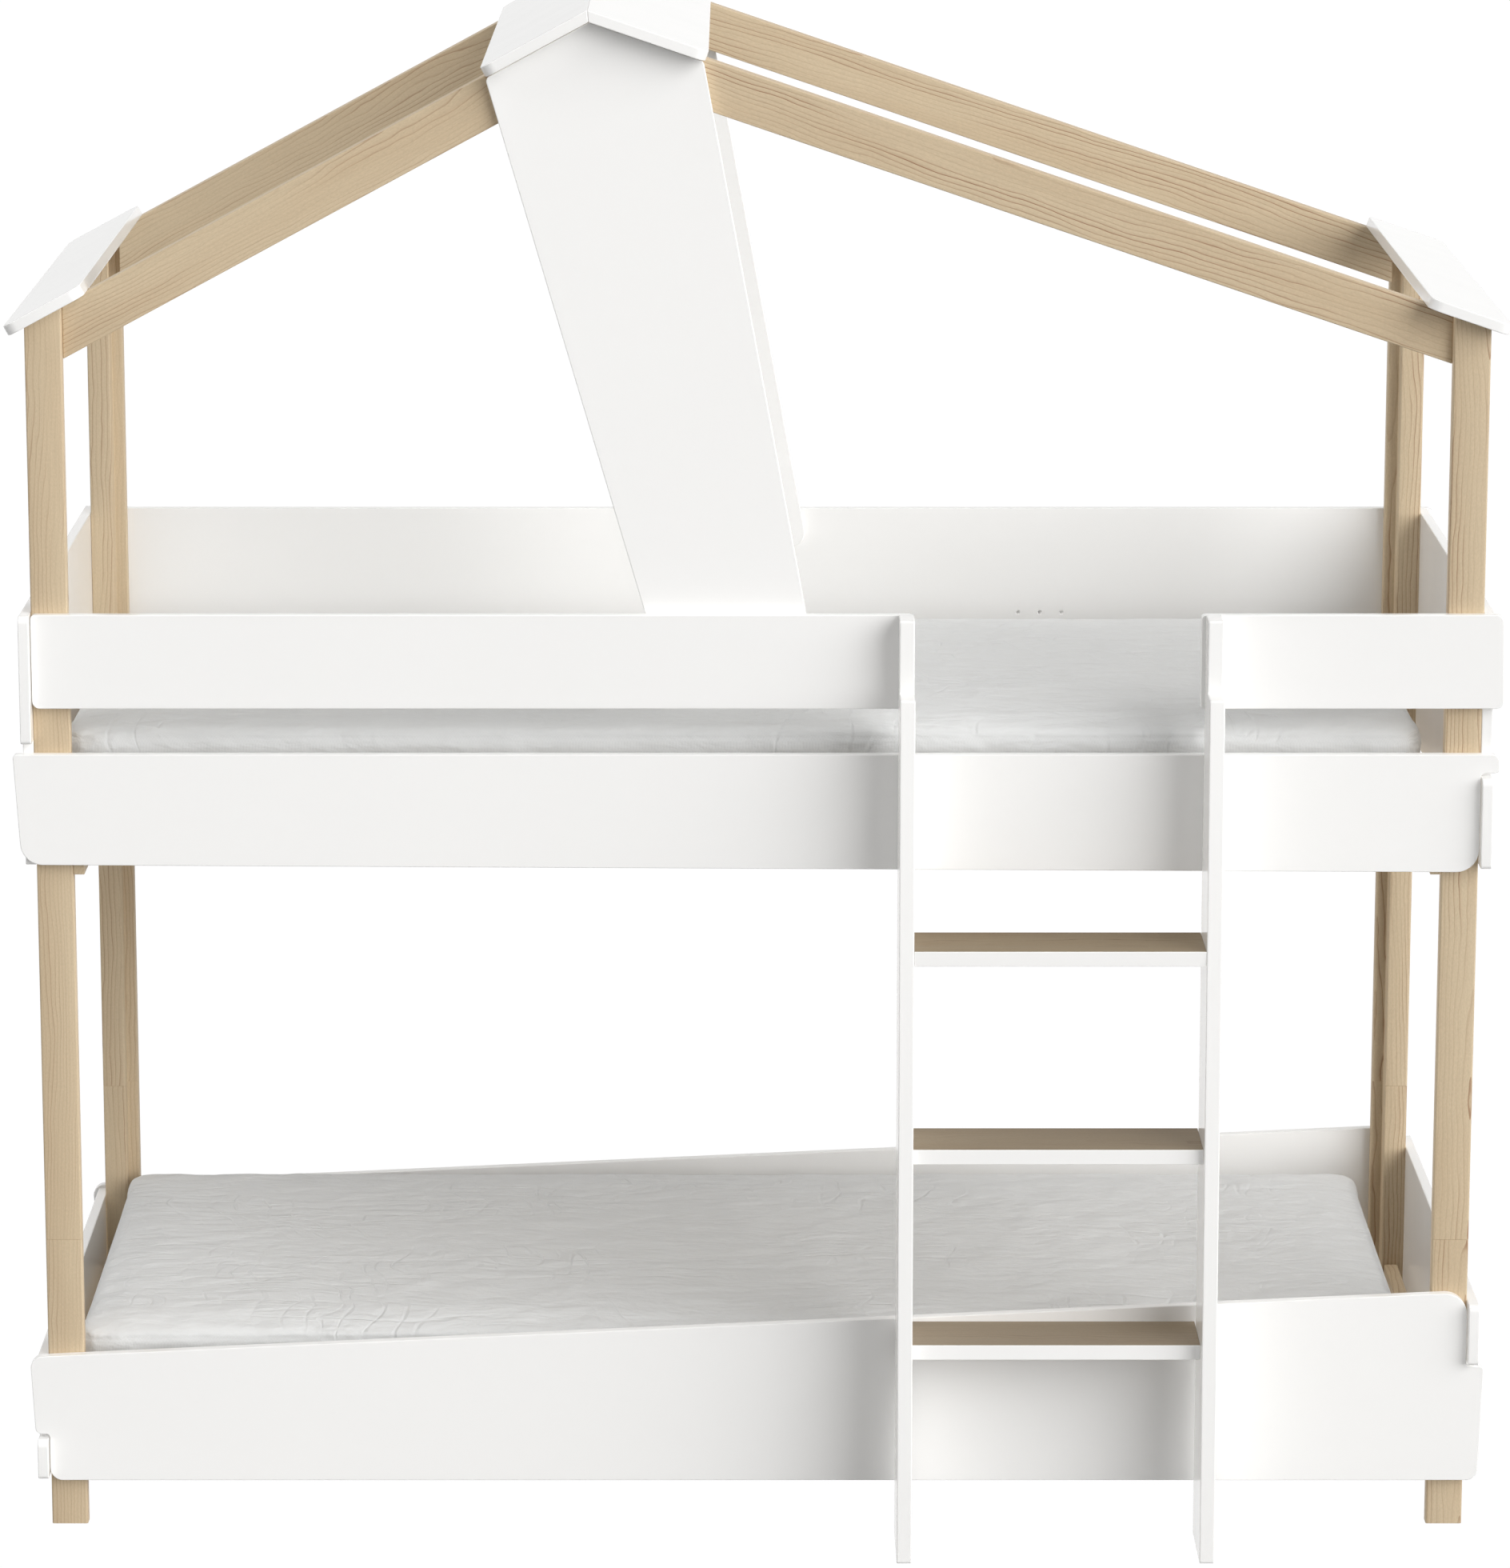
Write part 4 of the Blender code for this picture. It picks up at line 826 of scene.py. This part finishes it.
for side, low_x in (("left", LADDER_CLEAR[0] - STILE), ("right", LADDER_CLEAR[1])):
    stile = saw_board(f"stile_{side}", stile_side, "X", low_x, low_x + STILE, 0.0018)
    fit(stile, f"ladder_stile_{side}", paint)
LIPPING = 0.0025
for number in (1, 2, 3):
    low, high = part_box(f"ladder_tread_{number}")
    edge = low.y + LIPPING
    outline = [(low.x, edge), (high.x, edge), (high.x, high.y), (low.x, high.y)]
    tread = saw_board(f"tread_{number}", outline, "Z", low.z, high.z, 0.0010)
    middle = (low + high) / 2
    # The treads' pine is darkened to 0.46 with painted shade, for the shade that lies on their
    # tops.
    wood = pine_finish(
        f"pine tread {number}", middle, LENGTHWISE, pith=(0.02, -0.07), along=4.0 * number,
        strength=0.6, warmth=0.8, depth=0.46,
    )
    fit(tread, f"ladder_tread_{number}", wood)
    outline = [(low.x, low.y), (high.x, low.y), (high.x, edge), (low.x, edge)]
    lip = saw_board(f"tread_edge_{number}", outline, "Z", low.z, high.z, 0.0008)
    lip.data.materials.append(paint)
    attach(lip, "bed")
for name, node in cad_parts.items():
    if name.startswith("ladder_bolt"):
        node.data.materials.clear()
        node.data.materials.append(zinc_steel)

# The mattresses lie loose in the bunks: foam in a pale grey-white woven cover, with a seam round
# the upper edge, a soft crown and the shallow creases of a cover that isn't stretched tight.
COVER = (0.735, 0.74, 0.735)
SEAM_DROP = 0.016
SEAM_PULL = 0.0018
SEAM_WIDTH = 0.010
TOP_SLOPE = 0.080
EDGE_SHARE = 0.35
CELL = 0.010
SPARE = 0.003
FOOT_STRIP = 0.004
RIM = 0.09
BORDER = 0.03
TRAVEL = (0.001, 0.006)
PRESSURE = 4.0
FRAMES = 20


def cover_finish(name, seam):
    """The cover's weave, its fine irregular creases, and the seam where top and border are sewn."""
    finish = woven_finish(name, COVER, pitch=0.0016, strength=0.3)
    tree = finish.node_tree
    shader = tree.nodes["Principled BSDF"]
    shader.inputs["Sheen Weight"].default_value = 0.15
    weave = shader.inputs["Normal"].links[0].from_node
    place = object_place(tree)
    bend = stretched_noise(tree, place, (3.5, 4.5, 6.0), 2.0).outputs["Color"]
    bend_by = (0.16, 0.10, 0.05)
    bent = wire(tree, "ShaderNodeVectorMath", bend, bend_by, place, operation="MULTIPLY_ADD")
    folds = []
    for scales, width in (((3.0, 24.0, 12.0), 0.07), ((22.0, 5.0, 13.0), 0.06)):
        fold = stretched_noise(tree, bent, scales, 1.0).outputs[0]
        fold = math_of(tree, "ABSOLUTE", math_of(tree, "SUBTRACT", fold, 0.5))
        folds.append(smooth_range(tree, fold, width, 0.0))
    here = stretched_noise(tree, place, (3.0, 4.0, 4.0), 1.0).outputs[0]
    here = smooth_range(tree, here, 0.38, 0.66)
    crease = math_of(tree, "MULTIPLY", math_of(tree, "MAXIMUM", *folds), here)
    puff = stretched_noise(tree, bent, (14.0, 30.0, 26.0), 4.0).outputs[0]
    height = math_of(tree, "MULTIPLY_ADD", puff, 2.1, math_of(tree, "MULTIPLY", crease, -0.35))
    from_seam = math_of(tree, "ABSOLUTE", math_of(tree, "SUBTRACT", separate(tree, place)[2], seam))
    height = math_of(tree, "SUBTRACT", height, smooth_range(tree, from_seam, 0.006, 0.0, 0.0, 0.22))
    relief = add_relief(tree, height, strength=0.7, distance=0.0052)
    tree.links.new(relief, weave.inputs["Normal"])
    return finish


def swell(pad, limit):
    """Blow the cover up a little over its foam, with each point's travel limited."""
    before = [corner.co.copy() for corner in pad.data.vertices]
    cloth = pad.modifiers.new("cover", "CLOTH")
    cloth.settings.use_pressure = True
    cloth.settings.uniform_pressure_force = PRESSURE
    cloth.settings.effector_weights.gravity = 0.0
    cloth.settings.quality = 4
    scene = bpy.context.scene
    scene.frame_start, scene.frame_end = 1, FRAMES
    for number in range(1, FRAMES + 1):
        scene.frame_set(number)
    shaped = pad.evaluated_get(bpy.context.evaluated_depsgraph_get())
    after = [corner.co.copy() for corner in shaped.data.vertices]
    pad.modifiers.clear()
    scene.frame_set(1)
    for corner, old, new in zip(pad.data.vertices, before, after):
        travel = new - old
        most = limit(old)
        corner.co = old + (travel.normalized() * most if travel.length > most else travel)


def crease_depth(x, y, seed):
    """Shallow irregular creases, as noise with its folds drawn out along the bed."""
    bend = noise.noise(Vector((x * 2.3, y * 2.3, seed))) * 0.5
    fold = noise.noise(Vector((x * 5.0 + bend, y * 14.0 + 2 * bend, seed + 7.0)))
    cross = noise.noise(Vector((x * 16.0 - bend, y * 6.0, seed + 13.0)))
    ridge = max(0.0, 1 - abs(fold) * 9) ** 2 + 0.7 * max(0.0, 1 - abs(cross) * 8) ** 2
    here = noise.noise(Vector((x * 3.1, y * 3.9, seed + 21.0)))
    return ridge * max(0.0, here + 0.25)


for bunk, seed in (("upper", 3.0), ("lower", 11.0)):
    node = f"mattress_{bunk}"
    low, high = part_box(node)
    seam = high.z - 0.006 - SEAM_DROP
    cover = cover_finish(f"{bunk} woven cover", seam)
    shape = bmesh.new()
    shape.from_mesh(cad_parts[node].data)
    bmesh.ops.remove_doubles(shape, verts=shape.verts, dist=1e-5)
    mesh = bpy.data.meshes.new(f"soft_mattress_{bunk}")
    shape.to_mesh(mesh)
    shape.free()
    pad = bpy.data.objects.new(f"soft_mattress_{bunk}", mesh)
    bpy.context.scene.collection.objects.link(pad)
    remesh = pad.modifiers.new("cells", "REMESH")
    remesh.mode = "VOXEL"
    remesh.voxel_size = CELL
    plain_mesh(pad)
    middle = (low + high) / 2
    half = (high - low) / 2
    for corner in pad.data.vertices:
        from_end = half.x - abs(corner.co.x - middle.x)
        from_side = half.y - abs(corner.co.y - middle.y)
        if corner.co.z > low.z + FOOT_STRIP:
            corner.co.z -= SPARE * min(1.0, (corner.co.z - low.z) / 0.05)
        if from_end < 2 * CELL:
            corner.co.x -= math.copysign(SPARE, corner.co.x - middle.x)
        if from_side < 2 * CELL:
            corner.co.y -= math.copysign(SPARE, corner.co.y - middle.y)

    def limit(place, low=low, middle=middle, half=half):
        """How far a point of the cover may travel: least at the corners and at the foot."""
        near = min(half.x - abs(place.x - middle.x), RIM) / RIM
        near = max(near, min(half.y - abs(place.y - middle.y), RIM) / RIM)
        rise = min(1.0, max(0.0, place.z - low.z - FOOT_STRIP) / 0.03)
        return TRAVEL[0] + TRAVEL[1] * rise * near

    swell(pad, limit)
    for corner in pad.data.vertices:
        place = corner.co.copy()
        from_end = half.x - abs(place.x - middle.x)
        from_side = half.y - abs(place.y - middle.y)
        if place.z > seam:
            ease = min(1.0, (place.y - low.y) / TOP_SLOPE)
            ease = EDGE_SHARE + (1 - EDGE_SHARE) * ease * (2 - ease)
            soft = noise.noise(Vector((place.x * 15.0, place.y * 21.0, seed)))
            fine = noise.noise(Vector((place.x * 37.0, place.y * 41.0, seed)))
            sag = noise.noise(Vector((place.x * 3.0, place.y * 3.0, seed)))
            crease = crease_depth(place.x, place.y, seed)
            lift = (place.z - seam) * ease
            share = min(1.0, (place.z - seam) / 0.012)
            crown = SPARE + 0.0024 * soft + 0.0012 * fine + 0.0018 * sag - 0.0008 * crease
            corner.co.z = seam + lift + share * crown
        near_seam = 1 - abs(place.z - seam) / SEAM_WIDTH
        if near_seam > 0:
            if from_end < BORDER:
                corner.co.x -= math.copysign(SEAM_PULL * near_seam, place.x - middle.x)
            if from_side < BORDER:
                corner.co.y -= math.copysign(SEAM_PULL * near_seam, place.y - middle.y)
    pad.data.shade_smooth()
    finer = pad.modifiers.new("finer cells", "SUBSURF")
    finer.levels = finer.render_levels = 1
    fit(pad, node, cover, f"{bunk}_mattress")

# The stage: a pale floor that looks white to the camera, white all round, a wide soft lamp low
# at the right, a weak one from the left without shadows, and a camera far off that looks slightly
# down, where the picture was taken from.
SKY_LEVEL = 0.20
KEY_STRENGTH = 4.1
KEY_WIDTH = 65
KEY_TURN = 50
KEY_RISE = 16
FILL_STRENGTH = 1.4
FILL_WIDTH = 60
FILL_TURN = -82
FILL_RISE = 46
FLOOR_PALE = 0.30
FLOOR_GLOW = 1.04
FLOOR_SHARE = 0.96
PICTURE_WIDTH = 1888
PICTURE_AXIS = 918.58
CAMERA_DOWN = 12.3103
floor_mesh = bpy.data.meshes.new("floor")
floor_mesh.from_pydata([(-30, -30, 0), (30, -30, 0), (30, 30, 0), (-30, 30, 0)], [], [(0, 1, 2, 3)])
floor = bpy.data.objects.new("floor", floor_mesh)
bpy.context.scene.collection.objects.link(floor)
floor.location.z = -0.0005
pale, tree, shader = new_finish("pale floor")
shader.inputs["Base Color"].default_value = (FLOOR_PALE, FLOOR_PALE, FLOOR_PALE, 1.0)
shader.inputs["Roughness"].default_value = 0.9
glow = wire(tree, "ShaderNodeEmission", None, FLOOR_GLOW)
path = tree.nodes.new("ShaderNodeLightPath").outputs
seen = math_of(tree, "MAXIMUM", path["Is Camera Ray"], path["Is Glossy Ray"])
share = math_of(tree, "MULTIPLY", seen, FLOOR_SHARE)
mixed = wire(tree, "ShaderNodeMixShader", share, shader.outputs[0], glow)
tree.links.new(mixed, tree.nodes["Material Output"].inputs[0])
floor.data.materials.append(pale)

world = bpy.data.worlds.new("white room")
bpy.context.scene.world = world
world.use_nodes = True
tree = world.node_tree
room = tree.nodes["Background"]
path = tree.nodes.new("ShaderNodeLightPath").outputs
shown = math_of(tree, "MAXIMUM", path["Is Glossy Ray"], path["Is Transmission Ray"])
shown = math_of(tree, "MAXIMUM", path["Is Camera Ray"], shown)
strength = math_of(tree, "MULTIPLY_ADD", shown, 1.0 - SKY_LEVEL, SKY_LEVEL)
room.inputs["Color"].default_value = (1.0, 1.0, 1.0, 1.0)
tree.links.new(strength, room.inputs["Strength"])


def add_sun(name, strength, width, turn, rise):
    """A far lamp, its width, its turn to the right of the camera and its rise in degrees."""
    data = bpy.data.lights.new(name, "SUN")
    data.energy = strength
    data.angle = math.radians(width)
    lamp = bpy.data.objects.new(name, data)
    bpy.context.scene.collection.objects.link(lamp)
    turn, rise = math.radians(turn), math.radians(rise)
    level = math.cos(rise)
    place = Vector((math.sin(turn) * level, -math.cos(turn) * level, math.sin(rise)))
    lamp.rotation_euler = (-place).to_track_quat("-Z", "Y").to_euler()
    return data


add_sun("soft key", KEY_STRENGTH, KEY_WIDTH, KEY_TURN, KEY_RISE)
add_sun("weak fill", FILL_STRENGTH, FILL_WIDTH, FILL_TURN, FILL_RISE).use_shadow = False

lens = bpy.data.cameras.new("camera")
lens.lens = 151.04
lens.sensor_width = 36.0
lens.sensor_fit = "HORIZONTAL"
lens.shift_x = (PICTURE_WIDTH / 2 - PICTURE_AXIS) / PICTURE_WIDTH
lens.clip_end = 100.0
camera = bpy.data.objects.new("camera", lens)
bpy.context.scene.collection.objects.link(camera)
camera.location = (-0.03346, FRONT_FACE - 9.0945, 3.1254)
camera.rotation_euler = (math.radians(90 - CAMERA_DOWN), 0.0, 0.0)
bpy.context.scene.camera = camera
bpy.context.scene.view_settings.view_transform = "Standard"
